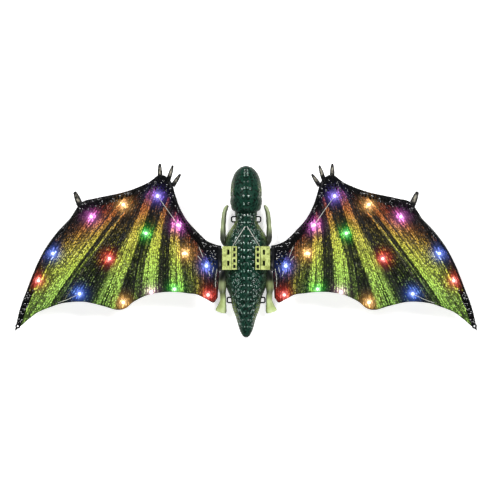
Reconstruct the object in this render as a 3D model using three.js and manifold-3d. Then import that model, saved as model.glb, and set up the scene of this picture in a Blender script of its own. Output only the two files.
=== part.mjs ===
// Light-up dinosaur wings: a moulded dinosaur worn on the back, with two lit wings that swing up and down.
// Millimetres. The flat back plate lies on the ground at Z = 0 and +Z points away from the wearer's back.
// +Y runs along the spine to the snout, +X to the right wing. The origin is on the plate, level with the
// wings' pivots.
import * as THREE from "three";
import { mergeVertices } from "three/addons/utils/BufferGeometryUtils.js";
import Module from "manifold-3d";

const wasm = await Module();
wasm.setup();

// Driving dimensions
const GAP = 0.35; // clearance between pieces that sit on each other
const WALL = 2.0; // moulded shell wall
const RIM_Z = 0.6; // lower edge of the shells, just above the plate's face
const ROOM_FOOT = -4; // the hollows run down past the rim, so the shells are open underneath
const DOME_POWER = 2.4; // squareness of the body's cross-sections
const BEYOND = 60; // reach of a cutting box past every piece it cuts

const PLATE_THICKNESS = 3.0;

const PIVOT_X = 33.5; // swing axis of each wing, out from the spine
const PIN_RADIUS = 2.0;
const PIN_BORE = 2.3;
const PIN_SIDES = 16;

const BRACKET = { inner: 23.6, outer: 38.4, halfLength: 18.9, foot: 32, top: 53 };
const BRACKET_SLOT = { inner: 26.2, low: 43.6, high: 49.4 };
const BRACKET_WINDOW = { x: 26.9, width: 3.6, length: 8.2, y: [9.4, -8.4] };
const PIN_FOOT = 35; // the pin ends blind inside the bracket's two leaves
const PIN_TOP = 51.4;
const RAIL = { inner: 14.9, outer: 22.9, top: 52 };
const RAIL_WINDOW = { width: 3.8, length: 5.6, depth: 4, y: [14, 4.8, -4.4, -13.6] };

const WING_Z = 46.5; // middle of the wing's sheet at the root
const SHEET = 1.8; // membrane thickness
const ROOT_THICKNESS = 5.0;
const HUB_RADIUS = 6.8;
const HUB_REACH = 47; // the hub's tongue runs out to here inside the wing
const TIP_DROOP = 14; // how far the tip bows down from the root's plane
const DROOP_START = 60;
const HALF_SPAN = 373.4;
const TIP_EYELET = { x: 368.6, y: -110, radius: 4.2, hole: 1.4, thickness: 2.8, sides: 10 };

const LAMP = { radius: 3.0, height: 4.2, sides: 10 };
const LEAD_WIRE = { radius: 0.7, sides: 6, steps: 9, napeX: 1.6, napeY: 51, endX: 21.6 };

const COLOURS = {
  body: 0x1d4a34,
  plate: 0x20261f,
  limb: 0x9fc45a,
  lime: 0xc9e06a,
  black: 0x14161a,
  steel: 0x9a9da0,
  wing: 0x59691f,
  wire: 0xd9d6c8,
};
const LAMP_COLOURS = {
  violet: 0x6a50ff,
  amber: 0xffb43c,
  magenta: 0xe040d8,
  green: 0x18d030,
  blue: 0x2a50ff,
  red: 0xff2a18,
  pink: 0xf29be0,
};

// Sections of the body from the tail tip to the neck's end: half width and crest height along Y.
const BODY_SECTIONS = [
  { y: -128.8, half: 3.4, crest: 9 },
  { y: -122, half: 8.0, crest: 14 },
  { y: -113, half: 11.4, crest: 19 },
  { y: -96, half: 16.0, crest: 26 },
  { y: -84, half: 20.6, crest: 30 },
  { y: -74, half: 23.0, crest: 33 },
  { y: -62, half: 25.6, crest: 37 },
  { y: -48, half: 31.4, crest: 41.5 },
  { y: -34, half: 35.2, crest: 45 },
  { y: -18, half: 36.8, crest: 47 },
  { y: 4, half: 37.2, crest: 48 },
  { y: 24, half: 35.6, crest: 46 },
  { y: 37, half: 31.2, crest: 42.5 },
  { y: 47, half: 24.6, crest: 38 },
  { y: 56, half: 19.2, crest: 34 },
  { y: 64, half: 17.2, crest: 31 },
  { y: 74, half: 18.2, crest: 30 },
  { y: 88, half: 17.0, crest: 28 },
];

// Sections of the head from its rear edge over the neck to the snout.
const HEAD_SECTIONS = [
  { y: 76.5, half: 21.4, crest: 35 },
  { y: 80, half: 23.4, crest: 38.5 },
  { y: 86, half: 24.4, crest: 41 },
  { y: 96, half: 25.0, crest: 42 },
  { y: 107, half: 25.0, crest: 41 },
  { y: 115, half: 24.6, crest: 38 },
  { y: 123, half: 23.2, crest: 34.5 },
  { y: 130, half: 21.2, crest: 31.5 },
  { y: 138, half: 17.6, crest: 27 },
  { y: 144, half: 12.6, crest: 22 },
  { y: 147.6, half: 7.4, crest: 17 },
  { y: 149.4, half: 3.2, crest: 12 },
];

const BODY_STATION = 5.4; // spacing of the body's rings, half the pitch of the scutes
const BODY_STEPS = 20;
const SCUTE_RISE = 1.8; // twin rows of horny scutes along the spine
const SCUTE_COLUMNS = [9, 11];
const TAIL_SOLID = 14; // the tail's last stretch is too slim to be hollow
const SNOUT_SOLID = 8;
const CAVITY_STATIONS = 13;
const CAVITY_STEPS = 8;
const HEAD_STATION = 5.2;
const HEAD_STEPS = 16;
const HEAD_SCUTE_COLUMNS = [7, 9];

// Each limb is a row of round sections: place on the right side, half width and half depth.
const ARM_SECTIONS = [
  { x: 33.0, y: 22, z: 19, wide: 4.6, deep: 5.6 },
  { x: 36.8, y: 30, z: 19.5, wide: 5.2, deep: 6.2 },
  { x: 37.4, y: 42, z: 19.5, wide: 4.6, deep: 5.4 },
  { x: 36.6, y: 58, z: 18.5, wide: 4.0, deep: 4.6 },
  { x: 35.2, y: 72, z: 17, wide: 3.7, deep: 4.0 },
  { x: 32.6, y: 80, z: 16, wide: 3.3, deep: 3.4 },
  { x: 29.6, y: 85.5, z: 15.4, wide: 1.7, deep: 1.9 },
];
const LEG_SECTIONS = [
  { x: 31.6, y: -21, z: 16.5, wide: 8.6, deep: 8.0 },
  { x: 36.8, y: -32, z: 15.6, wide: 8.4, deep: 8.6 },
  { x: 38.6, y: -46, z: 14.5, wide: 6.6, deep: 7.4 },
  { x: 38.0, y: -57, z: 13.8, wide: 5.4, deep: 6.2 },
  { x: 37.4, y: -68, z: 13.0, wide: 5.2, deep: 5.8 },
  { x: 38.6, y: -76, z: 12.4, wide: 6.8, deep: 5.8 },
  { x: 39.9, y: -82, z: 11.8, wide: 8.4, deep: 5.4 },
  { x: 41.0, y: -86.4, z: 11.2, wide: 9.1, deep: 4.4 },
  { x: 41.5, y: -88.2, z: 10.8, wide: 6.8, deep: 2.4 },
];
const LIMB_SIDES = 10;

// Strap loops: the hole's nearest and furthest reach from the spine, its middle along Y and its height.
const STRAP_LOOPS = [
  { place: "neck", root: 13, near: 17.6, far: 22.4, y: 62.7, z: 14 },
  { place: "hip", root: 20, near: 24.8, far: 29.3, y: -68.2, z: 12 },
];
const LOOP_HOLE_LENGTH = 6.0;
const LOOP_BAR = 2.0;
const LOOP_THICKNESS = 4.0;
const LOOP_CORNER = 0.8; // cut corners of the loop's hole
const LOOP_ARC_STEPS = 4;

// Rays of a wing from its root to its tip, as the ribs fan out. lead and trail are the ray's ends on the
// leading and trailing edges, band is the width of the scaly limb along the ray, thick the limb's thickness,
// rise the height of the sheet's fold and bow how far the ray curves outwards at its middle.
const WING_RAYS = [
  { lead: [39.8, 20], trail: [45.6, -64], band: 42, thick: 5.0, rise: 0, bow: 0 },
  { lead: [50, 22], trail: [52.5, -71.8], band: 38, thick: 5.0, rise: 0, bow: 0 },
  { lead: [64, 28.5], trail: [64, -66.2], band: 24, thick: 5.6, rise: 0.3, bow: 0 },
  { lead: [80, 44], trail: [79, -59], band: 18, thick: 6.2, rise: 0.5, bow: 0 },
  { lead: [96, 62], trail: [94, -57], band: 16, thick: 6.4, rise: -0.8, bow: 2 },
  { lead: [107.5, 83], trail: [111, -55], band: 15, thick: 6.6, rise: 2.2, bow: 4 },
  { lead: [114, 102], trail: [134, -55.2], band: 15, thick: 6.8, rise: -1.4, bow: 8 },
  { lead: [120, 122], trail: [159, -60], band: 18, thick: 7.0, rise: 2.2, bow: 9 },
  { lead: [129, 131.5], trail: [181, -70.5], band: 20, thick: 7.2, rise: -1.7, bow: 8 },
  { lead: [137.5, 134], trail: [194, -81], band: 21, thick: 7.2, rise: -1.2, bow: 5 },
  { lead: [144, 131.8], trail: [209, -83.4], band: 19, thick: 7.0, rise: 1.8, bow: 1 },
  { lead: [150, 127], trail: [232, -77], band: 17, thick: 6.6, rise: 2.0, bow: -1 },
  { lead: [157, 122], trail: [262, -70.8], band: 16, thick: 6.4, rise: -1.6, bow: 0 },
  { lead: [164, 118.5], trail: [293, -72.5], band: 16, thick: 6.2, rise: 0.4, bow: 2 },
  { lead: [172, 115], trail: [314, -78.8], band: 16, thick: 6.0, rise: -1.0, bow: 4 },
  { lead: [184, 110.3], trail: [335, -87.3], band: 17, thick: 5.8, rise: 2.4, bow: 3 },
  { lead: [206, 104], trail: [350, -98.2], band: 18, thick: 5.6, rise: 1.4, bow: 3 },
  { lead: [240, 97], trail: [358.5, -105.5], band: 21, thick: 5.6, rise: 0.6, bow: 5 },
  { lead: [266, 89.5], trail: [363.5, -109.8], band: 28, thick: 5.8, rise: 0.4, bow: 6 },
  { lead: [281, 67], trail: [366.8, -112.6], band: 28, thick: 5.0, rise: 0.4, bow: 6 },
  { lead: [307, 39], trail: [369.3, -114.6], band: 26, thick: 4.4, rise: 0.3, bow: 5 },
  { lead: [330, 5], trail: [371, -116], band: 26, thick: 4.0, rise: 0.2, bow: 4 },
  { lead: [349, -40], trail: [372.2, -117], band: 24, thick: 3.6, rise: 0, bow: 2 },
  { lead: [364, -78], trail: [373, -117.8], band: 16, thick: 3.2, rise: 0, bow: 0 },
  { lead: [372.5, -113], trail: [373.4, -118.2], band: 3, thick: 2.4, rise: 0, bow: 0 },
];
const RAY_STEP = 0.5;
const CROWDED_RAY = 18; // from here on the rays crowd together at the tip, and one ring each is enough
const BAND_STEPS = 3;
const SHEET_STEPS = 4;
const LONGEST_BAND_SHARE = 0.55;

// Claws on the wing's limb: three fingers at the wrist and one spur at the outer corner.
const CLAWS = [
  { base: [138.5, 128], tip: [138.9, 152], half: 3.9 },
  { base: [125, 126], tip: [117.7, 149.3], half: 3.5 },
  { base: [118.5, 116], tip: [105.6, 135.2], half: 3.6 },
  { base: [267, 84], tip: [276.4, 107], half: 5.2 },
];
const CLAW_SIDES = 6;
const CLAW_FLATNESS = 0.75;
const CLAW_LIFT = 1.2; // a claw's point stands this far above its base
const CLAW_TAPER = [
  { along: 0, width: 1 },
  { along: 0.45, width: 0.86 },
  { along: 0.8, width: 0.5 },
  { along: 1, width: 0.16 },
];

// A lamp's profile as shares of its radius and height.
const LAMP_PROFILE = [
  { out: 0, up: 0 },
  { out: 1, up: 0 },
  { out: 1, up: 0.4 },
  { out: 0.7, up: 0.82 },
  { out: 0, up: 1 },
];

// Lamps of one wing, from the wrist down to the trailing edge.
const LAMPS = [
  { at: [142.5, 99.8], colour: "violet" },
  { at: [197.7, 86.1], colour: "amber" },
  { at: [249.4, 66.3], colour: "magenta" },
  { at: [109.6, 53], colour: "magenta" },
  { at: [161.2, 39.8], colour: "green" },
  { at: [311.4, 7.2], colour: "blue" },
  { at: [98.5, 7.6], colour: "amber" },
  { at: [220.1, -1.1], colour: "red" },
  { at: [334.9, -36.7], colour: "red" },
  { at: [268.5, -57.8], colour: "blue" },
  { at: [197.7, -71.5], colour: "amber" },
  { at: [152.8, -54.8], colour: "pink" },
  { at: [114.8, -50], colour: "green" },
  { at: [63.8, -12.9], colour: "blue" },
  { at: [61.3, -59.4], colour: "red" },
];

// Solids and meshes

function solidOf(geometry) {
  const bare = new THREE.BufferGeometry().setAttribute("position", geometry.getAttribute("position"));
  if (geometry.index) bare.setIndex(geometry.index);
  const merged = mergeVertices(bare, 1e-4);
  const vertProperties = merged.attributes.position.array;
  const triVerts = new Uint32Array(merged.index.array);
  return new wasm.Manifold(new wasm.Mesh({ numProp: 3, vertProperties, triVerts }));
}

function geometryOf(solid) {
  const mesh = solid.getMesh();
  const geometry = new THREE.BufferGeometry();
  geometry.setAttribute("position", new THREE.BufferAttribute(mesh.vertProperties, 3));
  geometry.setIndex(new THREE.BufferAttribute(mesh.triVerts, 1));
  geometry.computeVertexNormals();
  return geometry;
}

// A closed skin over rings of points that run anticlockwise seen from the last ring. Each end is closed by a
// fan round its middle, or by a strip for a sheet, whose ring runs out along one face and back along another.
function loft(rings, closeEnd = fanEnd) {
  const sides = rings[0].length;
  const positions = rings.flat().flatMap((p) => [p.x, p.y, p.z]);
  const triangles = [];
  for (let r = 0; r + 1 < rings.length; r++) {
    for (let s = 0; s < sides; s++) {
      const a = r * sides + s;
      const b = r * sides + ((s + 1) % sides);
      triangles.push(a, b, b + sides, a, b + sides, a + sides);
    }
  }
  for (const ring of [0, rings.length - 1]) {
    for (const [a, b, c] of closeEnd(rings[ring], ring * sides, positions)) {
      triangles.push(...(ring === 0 ? [a, c, b] : [a, b, c]));
    }
  }
  const geometry = new THREE.BufferGeometry();
  geometry.setAttribute("position", new THREE.Float32BufferAttribute(positions, 3));
  return geometry.setIndex(triangles);
}

function fanEnd(ring, first, positions) {
  const hub = positions.length / 3;
  const middle = ring.reduce((sum, p) => sum.add(p), new THREE.Vector3()).divideScalar(ring.length);
  positions.push(middle.x, middle.y, middle.z);
  return ring.map((_, s) => [hub, first + s, first + ((s + 1) % ring.length)]);
}

function stripEnd(ring, first) {
  const last = first + ring.length - 1;
  const triangles = [];
  for (let s = 0; s + 1 < ring.length / 2; s++) {
    triangles.push([first + s, first + s + 1, last - s - 1], [first + s, last - s - 1, last - s]);
  }
  return triangles;
}

function boxSolid(x0, x1, y0, y1, z0, z1) {
  const box = new THREE.BoxGeometry(x1 - x0, y1 - y0, z1 - z0);
  return solidOf(box.translate((x0 + x1) / 2, (y0 + y1) / 2, (z0 + z1) / 2));
}

function postSolid(x, y, radius, z0, z1, sides = PIN_SIDES) {
  const post = new THREE.CylinderGeometry(radius, radius, z1 - z0, sides);
  return solidOf(post.rotateX(Math.PI / 2).translate(x, y, (z0 + z1) / 2));
}

// A smooth curve through one column of a table, by the table's own argument.
function column(rows, argument, value) {
  const t = rows.map(argument);
  const v = rows.map(value);
  const slope = v.map((_, i) => {
    const lo = Math.max(0, i - 1);
    const hi = Math.min(v.length - 1, i + 1);
    return (v[hi] - v[lo]) / (t[hi] - t[lo]);
  });
  return (at) => {
    let i = t.findIndex((edge) => edge > at) - 1;
    if (i < 0) i = at < t[0] ? 0 : t.length - 2;
    const span = t[i + 1] - t[i];
    const s = THREE.MathUtils.clamp((at - t[i]) / span, 0, 1);
    const s2 = s * s;
    const s3 = s2 * s;
    return (2 * s3 - 3 * s2 + 1) * v[i] + (s3 - 2 * s2 + s) * span * slope[i]
      + (3 * s2 - 2 * s3) * v[i + 1] + (s3 - s2) * span * slope[i + 1];
  };
}

const rightOf = (side) => (side === "right" ? 1 : -1);
const mirrored = (geometry, side) => (side === "right" ? geometry : mirrorX(geometry));

function mirrorX(geometry) {
  const turned = geometry.index ? geometry.toNonIndexed() : geometry.clone();
  const position = turned.getAttribute("position");
  for (let i = 0; i < position.count; i++) position.setX(i, -position.getX(i));
  for (let i = 0; i < position.count; i += 3) {
    const b = new THREE.Vector3().fromBufferAttribute(position, i + 1);
    const c = new THREE.Vector3().fromBufferAttribute(position, i + 2);
    position.setXYZ(i + 1, c.x, c.y, c.z);
    position.setXYZ(i + 2, b.x, b.y, b.z);
  }
  turned.computeVertexNormals();
  return turned;
}

// Body and head shells

const bodyHalf = column(BODY_SECTIONS, (row) => row.y, (row) => row.half);
const bodyCrest = column(BODY_SECTIONS, (row) => row.y, (row) => row.crest);
const headHalf = column(HEAD_SECTIONS, (row) => row.y, (row) => row.half);
const headCrest = column(HEAD_SECTIONS, (row) => row.y, (row) => row.crest);

// One ring of a domed section: an arch of the given half width and crest, closed by a straight foot.
function domeRing(y, half, crest, foot, steps, scutes = [], scuteRise = 0) {
  const ring = [];
  for (let k = 0; k <= steps; k++) {
    const angle = Math.PI * (k / steps);
    const reach = Math.sign(Math.cos(angle)) * Math.abs(Math.cos(angle)) ** (2 / DOME_POWER);
    const height = Math.max(0, Math.sin(angle)) ** (2 / DOME_POWER);
    const rise = scutes.includes(k) ? scuteRise : 0;
    ring.push(new THREE.Vector3(half * reach, y, foot + (crest - foot) * height + rise));
  }
  return ring.reverse();
}

function stations(rows, spacing) {
  const first = rows[0].y;
  const last = rows[rows.length - 1].y;
  const count = Math.round((last - first) / spacing);
  return Array.from({ length: count + 1 }, (_, i) => first + ((last - first) * i) / count);
}

function domeSolid(half, crest, places, foot, steps, grow, scutes = [], rise = 0) {
  const rings = places.map((y, i) => {
    const raised = i % 2 === 1 && i + 1 < places.length ? rise : 0;
    return domeRing(y, half(y) + grow, crest(y) + grow, foot, steps, scutes, raised);
  });
  return solidOf(loft(rings));
}

const bodyPlaces = stations(BODY_SECTIONS, BODY_STATION);
const bodyEnd = bodyPlaces[bodyPlaces.length - 1];
const bodyScutes = [SCUTE_COLUMNS, SCUTE_RISE];
const bodySkin = domeSolid(bodyHalf, bodyCrest, bodyPlaces, RIM_Z, BODY_STEPS, 0, ...bodyScutes);
// The smooth body grown by the gap: it trims what sits on the body.
const bodyKeepOut = domeSolid(bodyHalf, bodyCrest, bodyPlaces, RIM_Z, BODY_STEPS, GAP);

// The room inside a shell, open underneath. The plate uses the same room, drawn in by the gap.
function room(half, crest, first, last, inset) {
  const pitch = (last - first) / (CAVITY_STATIONS - 1);
  const places = Array.from({ length: CAVITY_STATIONS }, (_, i) => first + pitch * i);
  return domeSolid(half, crest, places, ROOM_FOOT, CAVITY_STEPS, -inset);
}

const roomTail = BODY_SECTIONS[0].y + TAIL_SOLID;
const bodyRoom = (inset) => room(bodyHalf, bodyCrest, roomTail, bodyEnd + 1, inset);
const bodyShell = bodySkin.subtract(bodyRoom(WALL));

const headPlaces = stations(HEAD_SECTIONS, HEAD_STATION);
const headRear = HEAD_SECTIONS[0].y;
const headFront = HEAD_SECTIONS[HEAD_SECTIONS.length - 1].y;
const headScutes = [HEAD_SCUTE_COLUMNS, SCUTE_RISE];
const headSkin = domeSolid(headHalf, headCrest, headPlaces, RIM_Z, HEAD_STEPS, 0, ...headScutes);
const headRoom = (inset) => room(headHalf, headCrest, headRear - WALL, headFront - SNOUT_SOLID, inset);
const headShell = headSkin.subtract(headRoom(WALL)).subtract(bodyKeepOut);

// Back plate: it lies inside the shells' lower edges.

function backPlate() {
  const slab = (first, last) => boxSolid(-BEYOND, BEYOND, first, last, 0, PLATE_THICKNESS);
  const underBody = slab(roomTail + 1, bodyEnd + 1).intersect(bodyRoom(WALL + GAP));
  const underHead = slab(bodyEnd + GAP, headFront - SNOUT_SOLID - 1).intersect(headRoom(WALL + GAP));
  return geometryOf(underBody.add(underHead));
}

// Limbs: round sections lofted along the limb, trimmed where they sit on the body.

function limb(sections) {
  const path = new THREE.CatmullRomCurve3(sections.map((row) => new THREE.Vector3(row.x, row.y, row.z)));
  const rings = sections.map((row, i) => {
    const along = path.getTangent(i / (sections.length - 1));
    const across = new THREE.Vector3(along.y, -along.x, 0).normalize();
    const up = new THREE.Vector3().crossVectors(along, across).normalize();
    return Array.from({ length: LIMB_SIDES }, (_, s) => {
      const angle = (2 * Math.PI * s) / LIMB_SIDES;
      return new THREE.Vector3(row.x, row.y, row.z)
        .addScaledVector(across, row.wide * Math.cos(angle))
        .addScaledVector(up, row.deep * Math.sin(angle));
    });
  });
  return geometryOf(solidOf(loft(rings)).subtract(bodyKeepOut));
}

// Wing brackets, rails and pins

function wingBracket() {
  const { inner, outer, halfLength, foot, top } = BRACKET;
  const slot = BRACKET_SLOT;
  let block = boxSolid(inner, outer, -halfLength, halfLength, foot, top).subtract(bodyKeepOut);
  block = block.subtract(boxSolid(slot.inner, BEYOND, -BEYOND, BEYOND, slot.low, slot.high));
  block = block.subtract(postSolid(PIVOT_X, 0, PIN_BORE, PIN_FOOT - GAP, PIN_TOP + GAP));
  const { x, width, length } = BRACKET_WINDOW;
  for (const y of BRACKET_WINDOW.y) {
    block = block.subtract(boxSolid(x, x + width, y - length / 2, y + length / 2, WING_Z, BEYOND));
  }
  return geometryOf(block);
}

function bracketRail() {
  const { inner, outer, top } = RAIL;
  const { width, length, depth } = RAIL_WINDOW;
  const x = (inner + outer - width) / 2;
  const halfLength = BRACKET.halfLength;
  let rail = boxSolid(inner, outer, -halfLength, halfLength, BRACKET.foot, top).subtract(bodyKeepOut);
  for (const y of RAIL_WINDOW.y) {
    rail = rail.subtract(boxSolid(x, x + width, y - length / 2, y + length / 2, top - depth, BEYOND));
  }
  return geometryOf(rail);
}

function pivotPin() {
  return geometryOf(postSolid(PIVOT_X, 0, PIN_RADIUS, PIN_FOOT, PIN_TOP));
}

// Strap loops: a flat eye standing out from the body's flank.

function strapLoop({ root, near, far, y, z }) {
  const half = LOOP_HOLE_LENGTH / 2;
  const outerHalf = half + LOOP_BAR;
  const eye = new THREE.Shape();
  eye.moveTo(root, y - outerHalf);
  eye.lineTo(far - LOOP_BAR, y - outerHalf);
  eye.absarc(far - LOOP_BAR, y - outerHalf + 2 * LOOP_BAR, 2 * LOOP_BAR, -Math.PI / 2, 0);
  eye.absarc(far - LOOP_BAR, y + outerHalf - 2 * LOOP_BAR, 2 * LOOP_BAR, 0, Math.PI / 2);
  eye.lineTo(root, y + outerHalf);
  eye.closePath();
  const long = half - LOOP_CORNER;
  const hole = new THREE.Path();
  hole.moveTo(near + LOOP_CORNER, y - half);
  hole.lineTo(near, y - long);
  hole.lineTo(near, y + long);
  hole.lineTo(near + LOOP_CORNER, y + half);
  hole.lineTo(far - LOOP_CORNER, y + half);
  hole.lineTo(far, y + long);
  hole.lineTo(far, y - long);
  hole.lineTo(far - LOOP_CORNER, y - half);
  hole.closePath();
  eye.holes.push(hole);
  const flat = new THREE.ExtrudeGeometry(eye, {
    depth: LOOP_THICKNESS,
    bevelEnabled: false,
    curveSegments: LOOP_ARC_STEPS,
  });
  return geometryOf(solidOf(flat.translate(0, 0, z - LOOP_THICKNESS / 2)).subtract(bodyKeepOut));
}

// Lead wires: from the nape over the shoulder to the top end of the rail.

function bodyTop(x, y) {
  const share = Math.min(1, Math.abs(x) / bodyHalf(y));
  return RIM_Z + (bodyCrest(y) - RIM_Z) * (1 - share ** DOME_POWER) ** (1 / DOME_POWER);
}

function leadWire() {
  const nape = new THREE.Vector2(LEAD_WIRE.napeX, LEAD_WIRE.napeY);
  const end = new THREE.Vector2(LEAD_WIRE.endX, BRACKET.halfLength + GAP);
  const lift = SCUTE_RISE + LEAD_WIRE.radius;
  const points = [0, 0.2, 0.4, 0.6, 0.8, 1].map((share) => {
    const p = nape.clone().lerp(end, share);
    return new THREE.Vector3(p.x, p.y, bodyTop(p.x, p.y) + lift);
  });
  const section = new THREE.Shape(
    Array.from({ length: LEAD_WIRE.sides }, (_, s) => {
      const angle = (2 * Math.PI * s) / LEAD_WIRE.sides;
      return new THREE.Vector2(LEAD_WIRE.radius * Math.cos(angle), LEAD_WIRE.radius * Math.sin(angle));
    }),
  );
  return new THREE.ExtrudeGeometry(section, {
    steps: LEAD_WIRE.steps,
    extrudePath: new THREE.CatmullRomCurve3(points),
    bevelEnabled: false,
  });
}

// Wings

const rayColumn = (value) => column(WING_RAYS.map((row, i) => ({ ...row, i })), (row) => row.i, value);
const ray = {
  leadX: rayColumn((row) => row.lead[0]),
  leadY: rayColumn((row) => row.lead[1]),
  trailX: rayColumn((row) => row.trail[0]),
  trailY: rayColumn((row) => row.trail[1]),
  band: rayColumn((row) => row.band),
  thick: rayColumn((row) => row.thick),
  rise: rayColumn((row) => row.rise),
  bow: rayColumn((row) => row.bow),
};

const droop = (x) => -TIP_DROOP * (Math.max(0, x - DROOP_START) / (HALF_SPAN - DROOP_START)) ** 2;

// Points down one ray: the upper and lower face of the limb's rounded band, then of the folded sheet.
function rayPoints(u) {
  const lead = new THREE.Vector2(ray.leadX(u), ray.leadY(u));
  const trail = new THREE.Vector2(ray.trailX(u), ray.trailY(u));
  const length = lead.distanceTo(trail);
  const outwards = new THREE.Vector2(lead.y - trail.y, trail.x - lead.x).normalize();
  const band = Math.min(ray.band(u), LONGEST_BAND_SHARE * length) / length;
  const places = [];
  for (let k = 0; k <= BAND_STEPS; k++) places.push((band * k) / BAND_STEPS);
  for (let k = 1; k <= SHEET_STEPS; k++) places.push(band + ((1 - band) * k) / SHEET_STEPS);
  return places.map((v) => {
    const p = lead.clone().lerp(trail, v).addScaledVector(outwards, 4 * v * (1 - v) * ray.bow(u));
    const inBand = Math.min(1, v / band);
    const inSheet = Math.max(0, (v - band) / (1 - band));
    const bulge = (ray.thick(u) - SHEET) * Math.sin(Math.PI * inBand);
    const fold = ray.rise(u) * Math.sin((Math.PI / 2) * Math.min(1, 2 * inSheet));
    const middle = new THREE.Vector3(p.x, p.y, WING_Z + droop(p.x) + fold);
    const half = new THREE.Vector3(0, 0, (SHEET + bulge) / 2);
    return { top: middle.clone().add(half), low: middle.clone().sub(half) };
  });
}

function wingSheet() {
  const rings = [];
  for (let u = 0; u < WING_RAYS.length; u += u < CROWDED_RAY ? RAY_STEP : 1) {
    const points = rayPoints(u);
    rings.push([...points.map((p) => p.top), ...points.map((p) => p.low).reverse()]);
  }
  return solidOf(loft(rings, stripEnd));
}

function claw({ base, tip, half }) {
  const z = WING_Z + droop(base[0]);
  const foot = new THREE.Vector3(base[0], base[1], z);
  const point = new THREE.Vector3(tip[0], tip[1], z + CLAW_LIFT);
  const along = point.clone().sub(foot);
  const across = new THREE.Vector3(along.y, -along.x, 0).normalize();
  const rings = CLAW_TAPER.map((row) =>
    Array.from({ length: CLAW_SIDES }, (_, s) => {
      const angle = (2 * Math.PI * s) / CLAW_SIDES;
      const depth = -CLAW_FLATNESS * half * row.width * Math.sin(angle);
      return foot.clone().addScaledVector(along, row.along)
        .addScaledVector(across, half * row.width * Math.cos(angle))
        .add(new THREE.Vector3(0, 0, depth));
    }),
  );
  return solidOf(loft(rings));
}

function wing() {
  const low = WING_Z - ROOT_THICKNESS / 2;
  const high = WING_Z + ROOT_THICKNESS / 2;
  let solid = wingSheet();
  for (const row of CLAWS) solid = solid.add(claw(row));
  solid = solid.add(postSolid(PIVOT_X, 0, HUB_RADIUS, low, high));
  solid = solid.add(boxSolid(PIVOT_X, HUB_REACH, -HUB_RADIUS, HUB_RADIUS, low, high));
  const { x, y, radius, hole, thickness, sides } = TIP_EYELET;
  const tipFoot = WING_Z + droop(x) - thickness / 2;
  solid = solid.add(postSolid(x, y, radius, tipFoot, tipFoot + thickness, sides));
  solid = solid.subtract(postSolid(x, y, hole, 0, 2 * WING_Z, sides));
  return geometryOf(solid.subtract(postSolid(PIVOT_X, 0, PIN_BORE, 0, 2 * WING_Z)));
}

// Lamps: moulded domes, each seated on the wing's upper face.

function lampSeat(wingMesh, [x, y]) {
  const caster = new THREE.Raycaster();
  const down = new THREE.Vector3(0, 0, -1);
  let seat = -Infinity;
  for (let s = 0; s < LAMP.sides; s++) {
    const angle = (2 * Math.PI * s) / LAMP.sides;
    const above = new THREE.Vector3(LAMP.radius * Math.cos(angle), LAMP.radius * Math.sin(angle), BEYOND);
    caster.set(above.add(new THREE.Vector3(x, y, 0)), down);
    const hits = caster.intersectObject(wingMesh);
    if (hits.length) seat = Math.max(seat, hits[0].point.z);
  }
  return seat + GAP;
}

function lamp([x, y], seat) {
  const profile = LAMP_PROFILE.map((row) => new THREE.Vector2(row.out * LAMP.radius, row.up * LAMP.height));
  const dome = new THREE.LatheGeometry(profile, LAMP.sides);
  return dome.rotateX(Math.PI / 2).translate(x, y, seat);
}

// Assembly

function piece(name, geometry, colour, roughness = 0.45, metalness = 0) {
  const material = new THREE.MeshStandardMaterial({ color: colour, roughness, metalness });
  const mesh = new THREE.Mesh(geometry, material);
  mesh.name = name;
  return mesh;
}

const object = new THREE.Group();
object.add(piece("body_shell", geometryOf(bodyShell), COLOURS.body));
object.add(piece("head", geometryOf(headShell), COLOURS.body));
object.add(piece("back_plate", backPlate(), COLOURS.plate, 0.6));

const rightWing = wing();
for (const side of ["left", "right"]) {
  object.add(piece(`arm_${side}`, mirrored(limb(ARM_SECTIONS), side), COLOURS.limb));
  object.add(piece(`leg_${side}`, mirrored(limb(LEG_SECTIONS), side), COLOURS.limb));
  object.add(piece(`wing_bracket_${side}`, mirrored(wingBracket(), side), COLOURS.lime));
  object.add(piece(`bracket_rail_${side}`, mirrored(bracketRail(), side), COLOURS.lime));
  object.add(piece(`pivot_pin_${side}`, mirrored(pivotPin(), side), COLOURS.steel, 0.3, 1));
  object.add(piece(`lead_wire_${side}`, mirrored(leadWire(), side), COLOURS.wire, 0.4));
  for (const row of STRAP_LOOPS) {
    object.add(piece(`strap_loop_${row.place}_${side}`, mirrored(strapLoop(row), side), COLOURS.black, 0.3));
  }
  const wingMesh = piece(`wing_${side}`, mirrored(rightWing, side), COLOURS.wing, 0.5);
  object.add(wingMesh);
  LAMPS.forEach(({ at, colour }, i) => {
    const place = [rightOf(side) * at[0], at[1]];
    const name = `led_${side}_${String(i + 1).padStart(2, "0")}`;
    object.add(piece(name, lamp(place, lampSeat(wingMesh, place)), LAMP_COLOURS[colour], 0.2));
  });
}

export default object;
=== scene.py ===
import bisect
import math
import random

import bmesh
import bpy
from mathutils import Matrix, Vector, noise
from mathutils.bvhtree import BVHTree


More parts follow.
